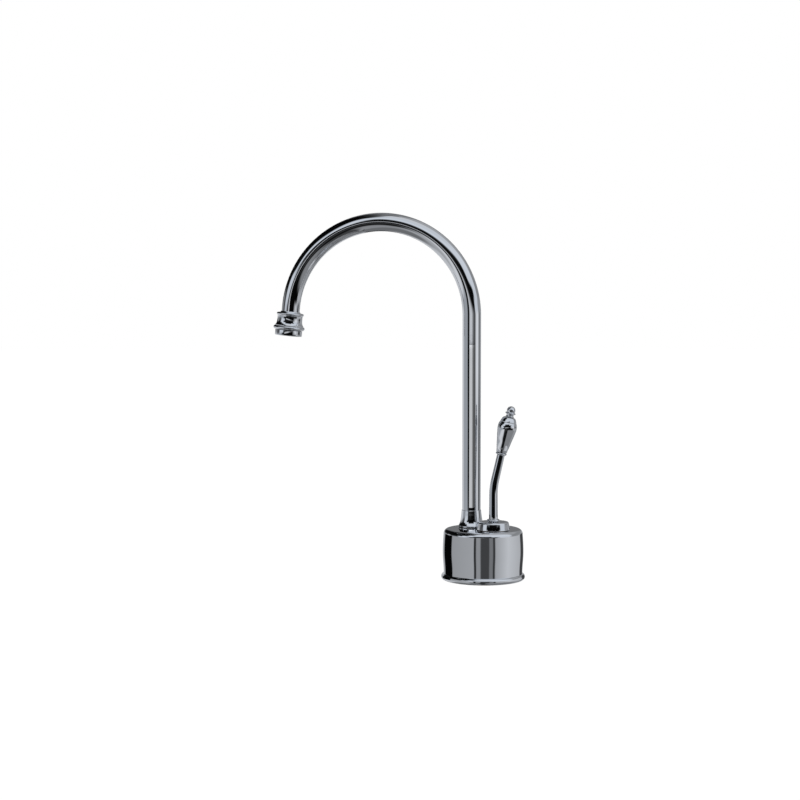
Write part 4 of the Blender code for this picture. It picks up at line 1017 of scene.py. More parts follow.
@dataclass
class Spout:
    """The gooseneck with its collar and nozzle.

    Args:
        layout: where the axes stand.
        radius: the tube's radius.
        bore: its bore's radius.
        foot: the height of the tube's lower end.
        arc_centre: the height of the arch's centre.
        arc_radius: the radius of the tube's centre line.
        sweep: how far the arch turns, in degrees.
        outlet_run: from the arch's end to the outlet's face.
        nozzle_run: from the arch's end to the tube's end inside the nozzle.
        collar_foot: the radius of the collar's foot.
        collar_neck: the radius of its upper end.
        collar_bottom: the height of its underside.
        steps: how many chords stand for the column, the arch and the run inside the nozzle.
    """

    layout: Layout
    radius: float = 6.35 * MM
    bore: float = 5.35 * MM
    foot: float = 28.1 * MM
    arc_centre: float = 180.3 * MM
    arc_radius: float = 64.7 * MM
    sweep: float = 174.0
    outlet_run: float = 20.74 * MM
    nozzle_run: float = 12.54 * MM
    collar_foot: float = 8.9 * MM
    collar_neck: float = 6.7 * MM
    collar_bottom: float = 35.4 * MM
    steps: tuple[int, int, int] = (24, 174, 8)

    def centre_line(self) -> tuple[list[Vector], Vector]:
        """Follows the tube.

        Returns:
            The points of its centre line, and the middle of the outlet's face.
        """
        start = self.layout.spout
        rise_steps, bend_steps, run_steps = self.steps
        points = [start + Vector((0, 0, self.foot + (self.arc_centre - self.foot) * step / rise_steps))
                  for step in range(rise_steps)]
        for step in range(bend_steps + 1):
            turn = math.radians(self.sweep) * step / bend_steps
            across = -self.arc_radius * (1 - math.cos(turn))
            points.append(start + Vector((across, 0, self.arc_centre + self.arc_radius * math.sin(turn))))
        arch_end = points[-1]
        turn = math.radians(self.sweep)
        along = Vector((-math.sin(turn), 0, math.cos(turn)))
        points += [arch_end + along * (self.nozzle_run * step / run_steps) for step in range(1, run_steps + 1)]
        return points, arch_end + along * self.outlet_run

    def build(self, wardrobe: Wardrobe) -> None:
        """Builds and dresses the tube, the collar and the nozzle."""
        points, outlet = self.centre_line()
        tube = run_tree(
            path_object("gooseneck", points),
            swept_tube_tree(),
            {"Radius": self.radius, "Bore": self.bore, "Sides": 96,
             "Material": wardrobe.materials[Slot.CHROME]},
        )
        close_tube_ends(tube)
        wardrobe.dress(tube, Slot.CHROME, Body.SPOUT, "spout_tube", weighted=False)
        self.build_collar(wardrobe)
        turn = Matrix.Rotation(math.radians(180 - self.sweep), 4, "Y")
        Nozzle(Matrix.Translation(outlet) @ turn).build(wardrobe)

    def build_collar(self, wardrobe: Wardrobe) -> None:
        """Builds the flared collar."""
        bottom = self.collar_bottom
        flare = in_mm(
            [(8.75, 1.1), (8.4, 1.75), (7.9, 2.95), (7.55, 4.3), (7.28, 5.9), (7.07, 7.6), (6.88, 9.4)], bottom
        )
        outline = [(8.15 * MM, bottom), (self.collar_foot, bottom), (self.collar_foot, bottom + 0.85 * MM)]
        outline += smooth_curve([*flare, (self.collar_neck, bottom + 11.1 * MM)], 8)
        outline += in_mm([(6.68, 11.5), (6.45, 11.5), (6.45, 0.9), (8.15, 0.9)], bottom)
        collar = turned("swivel_collar", outline, 0.22 * MM, 128, Matrix.Translation(self.layout.spout))
        wardrobe.dress(collar, Slot.CHROME, Body.SPOUT, "spout_collar", weighted=False)


@dataclass
class Nozzle:
    """The ringed nozzle with the outlet ring screwed in it.

    Args:
        place: the matrix of the outlet's centre, with its Z axis up the tube.
        ring_radius: the lower ring's radius.
        flange_radius: the thin upper flange's radius.
        waist_radius: the radius between them.
        lip_radius: the outlet ring's radius.
        lip_height: the height of its visible part.
    """

    place: Matrix
    ring_radius: float = 11.0 * MM
    flange_radius: float = 9.5 * MM
    waist_radius: float = 8.8 * MM
    lip_radius: float = 9.5 * MM
    lip_height: float = 3.9 * MM

    def outline(self) -> Outline:
        """Returns the nozzle body's outline, up from the gap above the outlet ring."""
        bottom = self.lip_height + 0.3 * MM
        ring = (self.ring_radius - 1.3 * MM, bottom + 1.3 * MM)
        waist = [(self.waist_radius, bottom + 7.0 * MM), *in_mm([(8.8, 8.8), (8.92, 9.9)], bottom)]
        flange = (self.flange_radius - 0.95 * MM, bottom + 10.9 * MM)
        line = in_mm([(8.2, 0), (9.1, 0)], bottom)
        line += arc(ring, 1.3 * MM, -90, 82, 28)
        line += smooth_curve([*in_mm([(10.0, 2.95), (9.4, 3.7), (9.0, 5.0)], bottom), *waist], 8)
        line += arc(flange, 0.95 * MM, -50, 90, 20)
        return line + in_mm([(6.95, 12.15), (6.75, 12.8), (6.45, 12.8), (6.45, 3.7), (8.2, 3.7)], bottom)

    def build(self, wardrobe: Wardrobe) -> None:
        """Builds and dresses the nozzle and what is in its outlet."""
        body = turned("nozzle", self.outline(), 0.2 * MM, 160, self.place)
        wardrobe.dress(body, Slot.CHROME, Body.SPOUT, "nozzle_body", weighted=False)
        top = self.lip_height + 2.7 * MM
        line = in_mm([(6.0, 0.35), (6.35, 0)])
        line += arc((self.lip_radius - 0.6 * MM, 0.6 * MM), 0.6 * MM, -90, 0, 12)
        line += [(self.lip_radius, self.lip_height), (7.9 * MM, self.lip_height), (7.9 * MM, top)]
        line += [(6.6 * MM, top), (6.6 * MM, 0.8 * MM), (6.0 * MM, 0.8 * MM)]
        ring = turned("outlet_ring", line, 0.2 * MM, 128, self.place)
        wardrobe.dress(ring, Slot.CHROME, Body.SPOUT, "aerator_shell", weighted=False)
        self.build_insert(wardrobe, top)

    def build_insert(self, wardrobe: Wardrobe, top: float) -> None:
        """Builds the washer, the screen and the straightener.

        Args:
            wardrobe: gives the finishes.
            top: the height of the outlet ring's upper face, from the outlet.
        """
        outline = ring_outline(5.35 * MM, 7.9 * MM, top + 0.3 * MM, top + 1.0 * MM)
        washer = turned("outlet_washer", outline, 0.15 * MM, 96, self.place)
        wardrobe.dress(washer, Slot.RUBBER, Body.SPOUT, "aerator_washer")
        punch = perforation_tree()
        parts = (
            ("outlet_screen", "aerator_screen", Slot.STEEL, top - 0.5 * MM, top, 0.9 * MM, 0.32 * MM, 15),
            ("outlet_comb", "flow_straightener", Slot.ACETAL, 1.1 * MM, top - 0.8 * MM, 1.9 * MM, 0.8 * MM, 9),
        )
        for name, node, slot, low, high, pitch, hole, count in parts:
            disc = object_of(name, lathe(ring_outline(0, 6.3 * MM, low, high), 96))
            run_tree(
                disc,
                punch,
                {"Count": count, "Pitch": pitch, "Hole Radius": hole, "Reach": 5.3 * MM, "Depth": 30 * MM,
                 "Material": wardrobe.materials[slot]},
            )
            disc.data.transform(self.place)
            wardrobe.dress(disc, slot, Body.SPOUT, node)


@dataclass
class Lever:
    """The hub, the curved stem, the teardrop grip and the finial.

    Args:
        layout: where the axes stand.
        hub_bottom: the height of the hub's foot.
        hub_top: the height of its flat top.
        hub_foot: its foot's radius.
        hub_shoulder: its radius below the rounded edge.
        hub_edge: the rounded edge's radius.
        bend_height: where the stem starts to bend.
        bend_radius: the bend's radius.
        lean: how far the stem leans, in degrees.
        grip_height: the height of the stem's upper end.
        stem_sides: how many sides stand for the stem's round section.
    """

    layout: Layout
    hub_bottom: float = 35.4 * MM
    hub_top: float = 40.7 * MM
    hub_foot: float = 11.4 * MM
    hub_shoulder: float = 10.6 * MM
    hub_edge: float = 1.3 * MM
    bend_height: float = 58.5 * MM
    bend_radius: float = 50.0 * MM
    lean: float = 12.9
    grip_height: float = 86.0 * MM
    stem_sides: int = 64

    def build(self, wardrobe: Wardrobe) -> None:
        """Builds and dresses the whole lever."""
        self.build_hub(wardrobe)
        grip_place = self.build_stem(wardrobe)
        Grip(grip_place).build(wardrobe)

    def build_hub(self, wardrobe: Wardrobe) -> None:
        """Builds the hub, its grub screw and the ring round the stem's foot."""
        edge = (self.hub_shoulder - self.hub_edge, self.hub_top - self.hub_edge)
        line = [(9.95 * MM, self.hub_bottom), (self.hub_foot, self.hub_bottom)]
        line += [(self.hub_foot, self.hub_bottom + 0.3 * MM), (11.08 * MM, self.hub_bottom + 2.0 * MM)]
        line += arc(edge, self.hub_edge, 0, 90, 24)
        line.append((1.8 * MM, self.hub_top))
        line += in_mm([(1.8, 40.0), (3.3, 40.0), (3.3, 37.7), (9.95, 37.7)])
        hub = turned("lever_hub", line, 0.2 * MM, 160, Matrix.Translation(self.layout.valve))
        low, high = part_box("hub_grub_screw")
        level = (low.z + high.z) / 2
        start = self.layout.valve + Vector((0, 2 * MM, level))
        combine(hub, [drill(start, start + Vector((0, 12 * MM, 0)), 1.0 * MM)])
        wardrobe.dress(hub, Slot.CHROME, Body.LEVER, "handle_hub")
        self.build_grub_screw(wardrobe, low, high, level)
        centre = (3.6 * MM, self.hub_top + 1.0 * MM)
        line = [(3.1 * MM, centre[1] - 0.7 * MM), *arc(centre, 0.7 * MM, -90, 90, 20),
                (3.1 * MM, centre[1] + 0.7 * MM)]
        ring = turned("stem_ring", line, 0.1 * MM, 96, Matrix.Translation(self.layout.valve))
        wardrobe.dress(ring, Slot.CHROME, Body.LEVER, "lock_ring", weighted=False)

    def build_grub_screw(self, wardrobe: Wardrobe, low: Vector, high: Vector, level: float) -> None:
        """Builds the socketed grub screw at the hub's back.

        Args:
            wardrobe: gives the finish.
            low: the node's lowest corner.
            high: the node's highest corner.
            level: the height of its axis.
        """
        length = high.y - low.y
        place = Matrix.Translation((self.layout.valve.x, low.y, level)) @ Matrix.Rotation(-math.pi / 2, 4, "X")
        screw = turned("grub_screw", ring_outline(0, 0.7 * MM, 0, length), 0.2 * MM, 32, place)
        start = Vector((self.layout.valve.x, high.y - 1.5 * MM, level))
        combine(screw, [drill(start, start + Vector((0, 4 * MM, 0)), 0.4 * MM, 6)])
        wardrobe.dress(screw, Slot.STEEL, Body.LEVER, "hub_grub_screw")

    def build_stem(self, wardrobe: Wardrobe) -> Matrix:
        """Builds the curved stem.

        Returns:
            The matrix of the stem's upper end, with its Z axis along the grip.
        """
        foot = self.hub_top + 0.3 * MM
        stations: list[tuple[Vector, Vector]] = []
        up = Vector((0, 0, 1))
        rise_steps, bend_steps, lean_steps = 12, 24, 8
        for step in range(rise_steps):
            stations.append((Vector((0, 0, foot + (self.bend_height - foot) * step / rise_steps)), up))
        for step in range(bend_steps + 1):
            turn = math.radians(self.lean) * step / bend_steps
            across = self.bend_radius * (1 - math.cos(turn))
            place = Vector((across, 0, self.bend_height + self.bend_radius * math.sin(turn)))
            stations.append((place, Vector((math.sin(turn), 0, math.cos(turn)))))
        bent, along = stations[-1]
        reach = (self.grip_height - bent.z) / along.z
        stations += [(bent + along * (reach * step / lean_steps), along) for step in range(1, lean_steps + 1)]
        mesh = bmesh.new()
        rings = [self.ring(mesh, Vector((0, 0, height)), up, 1.5 * MM) for height in (32.6 * MM, foot)]
        for place, direction in stations:
            share = (place.z - foot) / (self.grip_height - foot)
            rings.append(self.ring(mesh, place, direction, (3.0 - 0.35 * share) * MM))
        end, along = stations[-1]
        rings += [self.ring(mesh, end + along * further, along, 1.9 * MM) for further in (0, 10 * MM)]
        for ring, after in zip(rings, rings[1:]):
            for side in range(self.stem_sides):
                corner = (side + 1) % self.stem_sides
                mesh.faces.new((ring[side], ring[corner], after[corner], after[side]))
        mesh.faces.new(rings[0])
        mesh.faces.new(rings[-1])
        stem = object_of("curved_stem", mesh, Matrix.Translation(self.layout.valve))
        wardrobe.dress(stem, Slot.CHROME, Body.LEVER, "lever_stem", weighted=False)
        turn = Matrix.Rotation(math.radians(self.lean), 4, "Y")
        return Matrix.Translation(self.layout.valve + end) @ turn

    def ring(self, mesh: bmesh.types.BMesh, centre: Vector, along: Vector, radius: float) -> list[Any]:
        """Adds a ring of points square to a direction in the XZ plane."""
        across = Vector((0, 1, 0))
        third = along.cross(across).normalized()
        turns = [math.tau * side / self.stem_sides for side in range(self.stem_sides)]
        return [mesh.verts.new(centre + radius * (third * math.cos(turn) + across * math.sin(turn)))
                for turn in turns]


@dataclass
class Grip:
    """The teardrop with its ferrule and finial.

    Args:
        place: the matrix of the stem's upper end, with its Z axis along the grip.
        length: the teardrop's length.
        radius: its widest radius.
    """

    place: Matrix
    length: float = 24.2 * MM
    radius: float = 6.5 * MM

    def teardrop(self) -> Outline:
        """Returns the teardrop's outline, up from its foot."""
        bottom = 2.1 * MM
        lower = [(3.68, 0), (3.85, 1.7), (4.3, 3.6), (4.75, 5.9), (5.15, 8.4), (5.7, 11.2), (6.15, 13.8)]
        upper = [(6.4, 18.2), (6.1, 19.5), (5.68, 20.6)]
        side = [*in_mm([*lower, (6.42, 15.6)], bottom), (self.radius, bottom + 16.8 * MM), *in_mm(upper, bottom)]
        shoulder = in_mm([(5.42, 21.2), (5.0, 22.3), (4.5, 23.3), (3.9, 23.95)], bottom)
        line = [(2.2 * MM, bottom), *smooth_curve(side, 6), (5.35 * MM, bottom + 20.85 * MM)]
        line += smooth_curve([*shoulder, (3.1 * MM, bottom + self.length)], 6)
        return [*line, (2.2 * MM, bottom + self.length)]

    def build(self, wardrobe: Wardrobe) -> None:
        """Builds and dresses the ferrule, the teardrop and the finial."""
        centre = (3.0 * MM, 1.05 * MM)
        line = [(2.2 * MM, 0.3 * MM), *arc(centre, 0.75 * MM, -90, 90, 20), (2.2 * MM, 1.8 * MM)]
        ferrule = turned("grip_ring", line, 0.1 * MM, 96, self.place)
        wardrobe.dress(ferrule, Slot.CHROME, Body.LEVER, "grip_ferrule", weighted=False)
        grip = turned("teardrop", self.teardrop(), 0.12 * MM, 128, self.place)
        wardrobe.dress(grip, Slot.CHROME, Body.LEVER, "grip", angle=40, weighted=False)
        neck = 2.4 * MM + self.length
        flange = neck + 2.0 * MM
        ball = (0.0, flange + 2.35 * MM)
        ball_radius = 2.9 * MM
        line = in_mm([(0, -8), (1.5, -8), (1.5, 0), (2.9, 0)], neck)
        line += smooth_curve(in_mm([(2.9, 0.2), (2.4, 0.9), (2.5, 1.6)], neck), 6)
        line += arc((2.95 * MM, flange + 0.45 * MM), 0.55 * MM, -90, 70, 16)
        line += arc(ball, ball_radius, -28, 90, 40)[:-1]
        line.append((0, ball[1] + ball_radius))
        finial = turned("ball_finial", line, 0.1 * MM, 96, self.place)
        wardrobe.dress(finial, Slot.CHROME, Body.LEVER, "finial", angle=40, weighted=False)


@dataclass
class DeckFixings:
    """The shank, washers, nut and inlet below the deck.

    Args:
        shank_radius: the radius over the thread.
        thread_depth: how deep the thread is cut.
        pitch: the thread's pitch.
    """

    shank_radius: float = 5.55 * MM
    thread_depth: float = 0.42 * MM
    pitch: float = 1.27 * MM

    def build(self, wardrobe: Wardrobe) -> None:
        """Builds and dresses everything that hangs below the deck."""
        self.build_shank(wardrobe)
        self.build_washers(wardrobe)
        self.build_hexagon(wardrobe, "mounting_nut", "backing_nut", SHANK_HOLE)
        self.build_inlet(wardrobe)

    def build_shank(self, wardrobe: Wardrobe) -> None:
        """Builds the hollow threaded shank."""
        low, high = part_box("threaded_shank")
        core = self.shank_radius - self.thread_depth
        shank = turned("shank", ring_outline(3.6 * MM, core, low.z, high.z), 0.2 * MM, 64)
        margin = 0.8 * MM
        height = high.z - low.z - 2 * margin
        run_tree(
            shank,
            thread_tree(),
            {"Turns": height / self.pitch, "Radius": core, "Height": height, "Start": low.z + margin,
             "Depth": self.thread_depth, "Material": wardrobe.materials[Slot.BRASS]},
        )
        wardrobe.dress(shank, Slot.BRASS, Body.BASE, "threaded_shank", angle=25, weighted=False)

    def build_washers(self, wardrobe: Wardrobe) -> None:
        """Builds the rubber washer, the slotted brace and the split lock washer."""
        low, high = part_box("deck_washer")
        washer = turned("rubber_washer", ring_outline(SHANK_HOLE, high.x, low.z, high.z), 0.5 * MM, 96)
        wardrobe.dress(washer, Slot.RUBBER, Body.BASE, "deck_washer")
        slot = [(-SHANK_HOLE, 0), (SHANK_HOLE, 0), (SHANK_HOLE, 30 * MM), (-SHANK_HOLE, 30 * MM)]
        split = in_mm([(3, -0.6), (12, -0.6), (12, 0.6), (3, 0.6)])
        for name, node, rounding, cut in (
            ("slotted_brace", "brace_washer", 0.3 * MM, slot),
            ("split_washer", "lock_washer", 0.25 * MM, split),
        ):
            low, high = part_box(node)
            washer = turned(name, ring_outline(SHANK_HOLE, -low.x, low.z, high.z), rounding, 96)
            combine(washer, [prism(cut, low.z - PAST, high.z + PAST)])
            wardrobe.dress(washer, Slot.STEEL, Body.BASE, node)

    @staticmethod
    def hexagon(name: str, radius: float, low: float, high: float) -> bpy.types.Object:
        """Builds a nut's blank: a hexagon with its corners turned down at both ends.

        Args:
            name: the object's name.
            radius: its radius to the corners.
            low: the height of its lower face.
            high: the height of its upper face.

        Returns:
            The blank.
        """
        blank = object_of(name, prism(polygon(radius, 6), low, high))
        flat = radius * math.cos(math.pi / 6) - 0.2 * MM
        drop = (radius - flat) * math.tan(math.radians(30))
        outline = [(0, low), (flat, low), (radius + 0.05 * MM, low + drop)]
        outline += [(radius + 0.05 * MM, high - drop), (flat, high), (0, high)]
        return combine(blank, [lathe(outline, 96)], "INTERSECT")

    def build_hexagon(self, wardrobe: Wardrobe, node: str, name: str, hole: float) -> None:
        """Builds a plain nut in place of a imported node."""
        low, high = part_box(node)
        nut = self.hexagon(name, high.x, low.z, high.z)
        combine(nut, [prism(polygon(hole, 64), low.z - PAST, high.z + PAST)])
        wardrobe.dress(nut, Slot.BRASS, Body.BASE, node, angle=20)

    def build_inlet(self, wardrobe: Wardrobe) -> None:
        """Builds the coupling, the compression nut and the sleeve."""
        low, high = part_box("inlet_coupling")
        hex_low = high.z - 13 * MM
        coupling = self.hexagon("coupling", high.x, hex_low, high.z)
        nipple = softened(ring_outline(0, 5.0 * MM, low.z, hex_low + 1 * MM), 0.4 * MM)
        combine(coupling, [lathe(nipple, 64)], "UNION")
        tools = [
            prism(polygon(SHANK_HOLE, 64), high.z - 9 * MM, high.z + PAST),
            prism(polygon(2.4 * MM, 48), low.z - PAST, high.z - 8 * MM),
            prism(polygon(3.4 * MM, 48), low.z - PAST, hex_low),
        ]
        combine(coupling, tools)
        wardrobe.dress(coupling, Slot.BRASS, Body.BASE, "inlet_coupling", angle=20)
        low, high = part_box("compression_nut")
        nut = self.hexagon("tube_nut", high.x, low.z, high.z)
        tools = [
            prism(polygon(5.3 * MM, 64), low.z + 2 * MM, high.z + PAST),
            prism(polygon(3.4 * MM, 48), low.z - PAST, high.z - 8 * MM),
        ]
        combine(nut, tools)
        wardrobe.dress(nut, Slot.BRASS, Body.BASE, "compression_nut", angle=20)
        low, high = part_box("compression_sleeve")
        sleeve = turned("olive", ring_outline(3.4 * MM, 4.7 * MM, low.z, high.z), 0.5 * MM, 64)
        wardrobe.dress(sleeve, Slot.BRASS, Body.BASE, "compression_sleeve")


CHROME_SHARE = 0.76


def shown(level: float) -> float:
    """Turns the 8-bit brightness that the chrome should show into the light that it has to mirror.

    Args:
        level: the brightness, from 0 to 255.

    Returns:
        The light, of which the chrome mirrors CHROME_SHARE.
    """
    share = level / 255
    linear = share / 12.92 if share <= 0.04045 else ((share + 0.055) / 1.055) ** 2.4
    return linear / CHROME_SHARE


@dataclass(frozen=True)
class Card:
    """One stretch of the studio's surroundings, as the chrome mirrors it.

    Args:
        angle: where it starts, in degrees to the right of the camera's side.
        level: the 8-bit brightness that the chrome shows there.
        last: the brightness at its other end, where it isn't even.
        tint: its colour.
    """

    angle: float
    level: float
    last: Optional[float] = None
    tint: Colour = (0.985, 1.0, 1.03)


@dataclass(frozen=True)
class Tier:
    """The cards round the object between two heights.

    Args:
        elevation: the height at which the tier is fully seen, in degrees.
        cards: its cards, by angle.
        soft: how wide the change from one card to the next is, in degrees.
    """

    elevation: float
    cards: tuple[Card, ...]
    soft: float = 3.0


@dataclass(frozen=True)
class SoftLamp:
    """A large round lamp, which the chrome doesn't mirror.

    Args:
        name: its name.
        azimuth: where it hangs, in degrees to the right of the camera.
        elevation: how high it hangs, in degrees.
        power: its power in watts.
        size: its diameter in metres.
    """

    name: str
    azimuth: float
    elevation: float
    power: float
    size: float


@dataclass(frozen=True)
class Strip:
    """An upright strip lamp in front of the column.

    Args:
        name: its name.
        left: its left edge, in millimetres to the right of the base's axis.
        right: its right edge, in the same way.
        level: its 8-bit brightness as the chrome shows it.
    """

    name: str
    left: float
    right: float
    level: float


COOL: Colour = (0.95, 1.0, 1.07)
SOFT_LAMPS = (
    SoftLamp("key_lamp", -50, 45, 14.0, 0.9),
    SoftLamp("fill_lamp", 60, 35, 9.0, 0.9),
    SoftLamp("back_lamp", 170, 55, 7.0, 0.7),
)
STRIPS = (
    Strip("bright_strip", -13.8, -6.9, 190),
    Strip("middle_strip", -6.9, -4.1, 135),
    Strip("dim_strip", -4.1, 2.2, 75),
)
TIERS = (
    Tier(-52.0, (Card(-180, 105), Card(-60, 132), Card(-14, 60), Card(22, 115)), 10.0),
    Tier(-29.0, (
        Card(-180, 50), Card(-166, 185), Card(-90, 160), Card(-40, 16), Card(8, 125), Card(100, 145),
        Card(138, 50), Card(150, 190),
    ), 8.0),
    Tier(-13.0, (
        Card(-180, 50), Card(-168, 190), Card(-110, 200), Card(-34, 50), Card(0, 5), Card(74, 165),
        Card(138, 50), Card(150, 190),
    ), 8.0),
    Tier(-4.5, (
        Card(-180, 60), Card(-170, 185), Card(-110, 150, tint=COOL), Card(-49, 6), Card(45, 150), Card(58, 195),
        Card(92, 60), Card(122, 165), Card(140, 50), Card(150, 190), Card(170, 120),
    ), 8.0),
    Tier(-0.65, (
        Card(-180, 60), Card(-170, 190), Card(-110, 150, tint=COOL), Card(-52, 6), Card(44, 150), Card(54, 208),
        Card(92, 105), Card(122, 165), Card(140, 50), Card(150, 190), Card(170, 120),
    ), 8.0),
    Tier(-0.55, (
        Card(-180, 60), Card(-170, 190), Card(-110, 150, tint=COOL), Card(-52, 12), Card(-28, 190), Card(6, 135),
        Card(20, 75), Card(44, 150), Card(54, 208), Card(92, 105), Card(122, 165), Card(140, 50), Card(150, 190),
        Card(170, 120),
    ), 8.0),
    Tier(6.5, (
        Card(-180, 105), Card(-165, 60), Card(-125, 150), Card(-110, 80), Card(-76, 198, tint=COOL),
        Card(-40, 30), Card(0, 8), Card(42, 195, tint=COOL), Card(85, 140), Card(165, 105),
    ), 6.0),
    Tier(15.0, (
        Card(-180, 105), Card(-168, 12), Card(-80, 200, tint=COOL), Card(-50, 4), Card(50, 195, tint=COOL),
        Card(95, 130), Card(165, 105),
    ), 6.0),
    Tier(22.0, (
        Card(-180, 105), Card(-168, 12), Card(-66, 205, tint=COOL), Card(-30, 20), Card(26, 200, tint=COOL),
        Card(95, 130), Card(165, 105),
    ), 6.0),
    Tier(40.0, (
        Card(-180, 110), Card(-158, 5), Card(-50, 205, tint=COOL), Card(100, 150), Card(165, 110),
    ), 12.0),
    Tier(60.0, (
        Card(-180, 110), Card(-155, 4), Card(-36, 195, tint=COOL), Card(100, 158), Card(165, 110),
    ), 12.0),
    Tier(80.0, (Card(-180, 120), Card(-130, 60), Card(-60, 195), Card(100, 150)), 16.0),
)
RING = Tier(0.0, (
    Card(-180, 40), Card(-164, 190, 150), Card(-130, 5), Card(-88.8, 146, 156), Card(-22.5, 20),
    Card(-17.3, 138), Card(-6.2, 62), Card(15.3, 112), Card(24.8, 42), Card(30.2, 155, 188), Card(67.6, 188, 168),
    Card(119.7, 60), Card(146, 120, 180), Card(165, 40), Card(172, 168, 150),
), 2.4)


@dataclass
class Studio:
    """The camera, the floor, the lamps and what the chrome mirrors.

    Args:
        azimuth: how far the camera stands to the right of the object's front, in degrees.
        distance: from the base's axis to the camera, over the floor.
        height: the camera's height above the deck.
        lens: the focal length on a 36 mm wide picture, in millimetres.
        aim: how far the camera turns left of the base's axis, in degrees.
        pitch: how far the camera looks down, in degrees.
        floor_radius: the floor's radius.
        floor_level: the floor's height, just below the gasket.
        lamp_distance: from the soft lamps to the tap.
        strip_bottom: the height of the strip lamps' lower ends.
        strip_top: the height of their upper ends.
        strip_near: how far in front of the base's axis they hang.
        ring_radius: the striped ring's radius.
        ring_bottom: the height of its lower edge.
        ring_top: the height of its upper edge.
        ring_sides: how many sides it has.
    """

    azimuth: float = 10.0
    distance: float = 1.03
    height: float = 0.171
    lens: float = 68.13
    aim: float = 3.157
    pitch: float = 2.68
    floor_radius: float = 12.0
    floor_level: float = -0.02 * MM
    lamp_distance: float = 1.3
    strip_bottom: float = 48 * MM
    strip_top: float = 160.1 * MM
    strip_near: float = 6 * MM
    ring_radius: float = 100 * MM
    ring_bottom: float = -25 * MM
    ring_top: float = 33.5 * MM
    ring_sides: int = 180

    def build(self) -> None:
        """Sets up everything that isn't part of the object."""
        self.build_camera()
        self.build_floor()
        self.build_soft_lamps()
        self.build_strips()
        self.build_surroundings()
        self.build_ring()
        bpy.context.scene.view_settings.view_transform = "Standard"

    def way(self, azimuth: float = 0.0, elevation: float = 0.0) -> Vector:
        """Returns the direction at an angle from the camera's side and above the floor, in degrees."""
        turn, rise = math.radians(self.azimuth + azimuth), math.radians(elevation)
        return Vector((math.sin(turn) * math.cos(rise), -math.cos(turn) * math.cos(rise), math.sin(rise)))

    def build_camera(self) -> None:
        """Puts the camera where the photograph was taken from."""
        turn = math.radians(self.azimuth)
        data = bpy.data.cameras.new("camera")
        data.lens = self.lens
        data.sensor_width = 36
        data.sensor_fit = "HORIZONTAL"
        data.clip_start = 0.05
        data.clip_end = 50
        camera = linked("camera", data)
        camera.location = (self.distance * math.sin(turn), -self.distance * math.cos(turn), self.height)
        camera.rotation_euler = (math.pi / 2 - math.radians(self.pitch), 0, turn + math.radians(self.aim))
        bpy.context.scene.camera = camera

    def build_floor(self) -> None:
        """Lays a white floor at deck level, which takes a faint shadow and is clear from below."""
        mesh = bmesh.new()
        bmesh.ops.create_circle(mesh, cap_ends=True, segments=64, radius=self.floor_radius)
        bmesh.ops.translate(mesh, vec=(0, 0, self.floor_level), verts=mesh.verts)
        floor = object_of("studio_floor", mesh)
        if floor.data.polygons[0].normal.z < 0:
            floor.data.flip_normals()
        material = bpy.data.materials.new("studio_floor")
        tree = emptied_tree(material)
        path = tree.add("ShaderNodeLightPath")
        seen = tree.math("MAXIMUM", path.outputs["Is Camera Ray"], path.outputs["Is Transmission Ray"])
        matt = tree.add("ShaderNodeBsdfDiffuse", {"Color": (0.8, 0.8, 0.8, 1)}).outputs[0]
        white = tree.add("ShaderNodeEmission", {"Color": (1, 1, 1, 1), "Strength": 1.03}).outputs[0]
        above = tree.mixed_shader(seen, matt, tree.mixed_shader(0.97, matt, white))
        below = tree.add("ShaderNodeNewGeometry").outputs["Backfacing"]
        clear = tree.add("ShaderNodeBsdfTransparent").outputs[0]
        tree.add("ShaderNodeOutputMaterial", {"Surface": tree.mixed_shader(below, above, clear)})
        floor.data.materials.append(material)
        floor.visible_glossy = False

    @staticmethod
    def flat_lamp(name: str, shape: str, size: float, energy: float, back: Vector) -> bpy.types.Object:
        """Adds a flat lamp.

        Args:
            name: its name.
            shape: DISK or RECTANGLE.
            size: its width.
            energy: its power in watts.
            back: the direction that its dark side faces.

        Returns:
            The lamp's object, still at the origin.
        """
        data = bpy.data.lights.new(name, "AREA")
        data.shape = shape
        data.size = size
        data.energy = energy
        lamp = linked(name, data)
        lamp.rotation_euler = back.to_track_quat("Z", "Y").to_euler()
        return lamp

    def build_soft_lamps(self) -> None:
        """Hangs three large soft lamps, which the mirrored cards stand for in the chrome."""
        for soft in SOFT_LAMPS:
            way = self.way(soft.azimuth, soft.elevation)
            lamp = self.flat_lamp(soft.name, "DISK", soft.size, soft.power, way)
            lamp.location = Vector((0, 0, 0.1)) + way * self.lamp_distance
            lamp.visible_glossy = False

    def build_strips(self) -> None:
        """Hangs three upright strip lamps side by side, which only the chrome mirrors."""
        near = self.way()
        across = self.way(90)
        rise = self.strip_top - self.strip_bottom
        for strip in STRIPS:
            width = (strip.right - strip.left) * MM
            energy = shown(strip.level) * math.pi * width * rise
            lamp = self.flat_lamp(strip.name, "RECTANGLE", width, energy, near)
            lamp.data.size_y = rise
            lamp.location = across * ((strip.left + strip.right) / 2 * MM) + near * self.strip_near
            lamp.location.z = (self.strip_top + self.strip_bottom) / 2
            lamp.visible_camera = False
            lamp.visible_diffuse = False

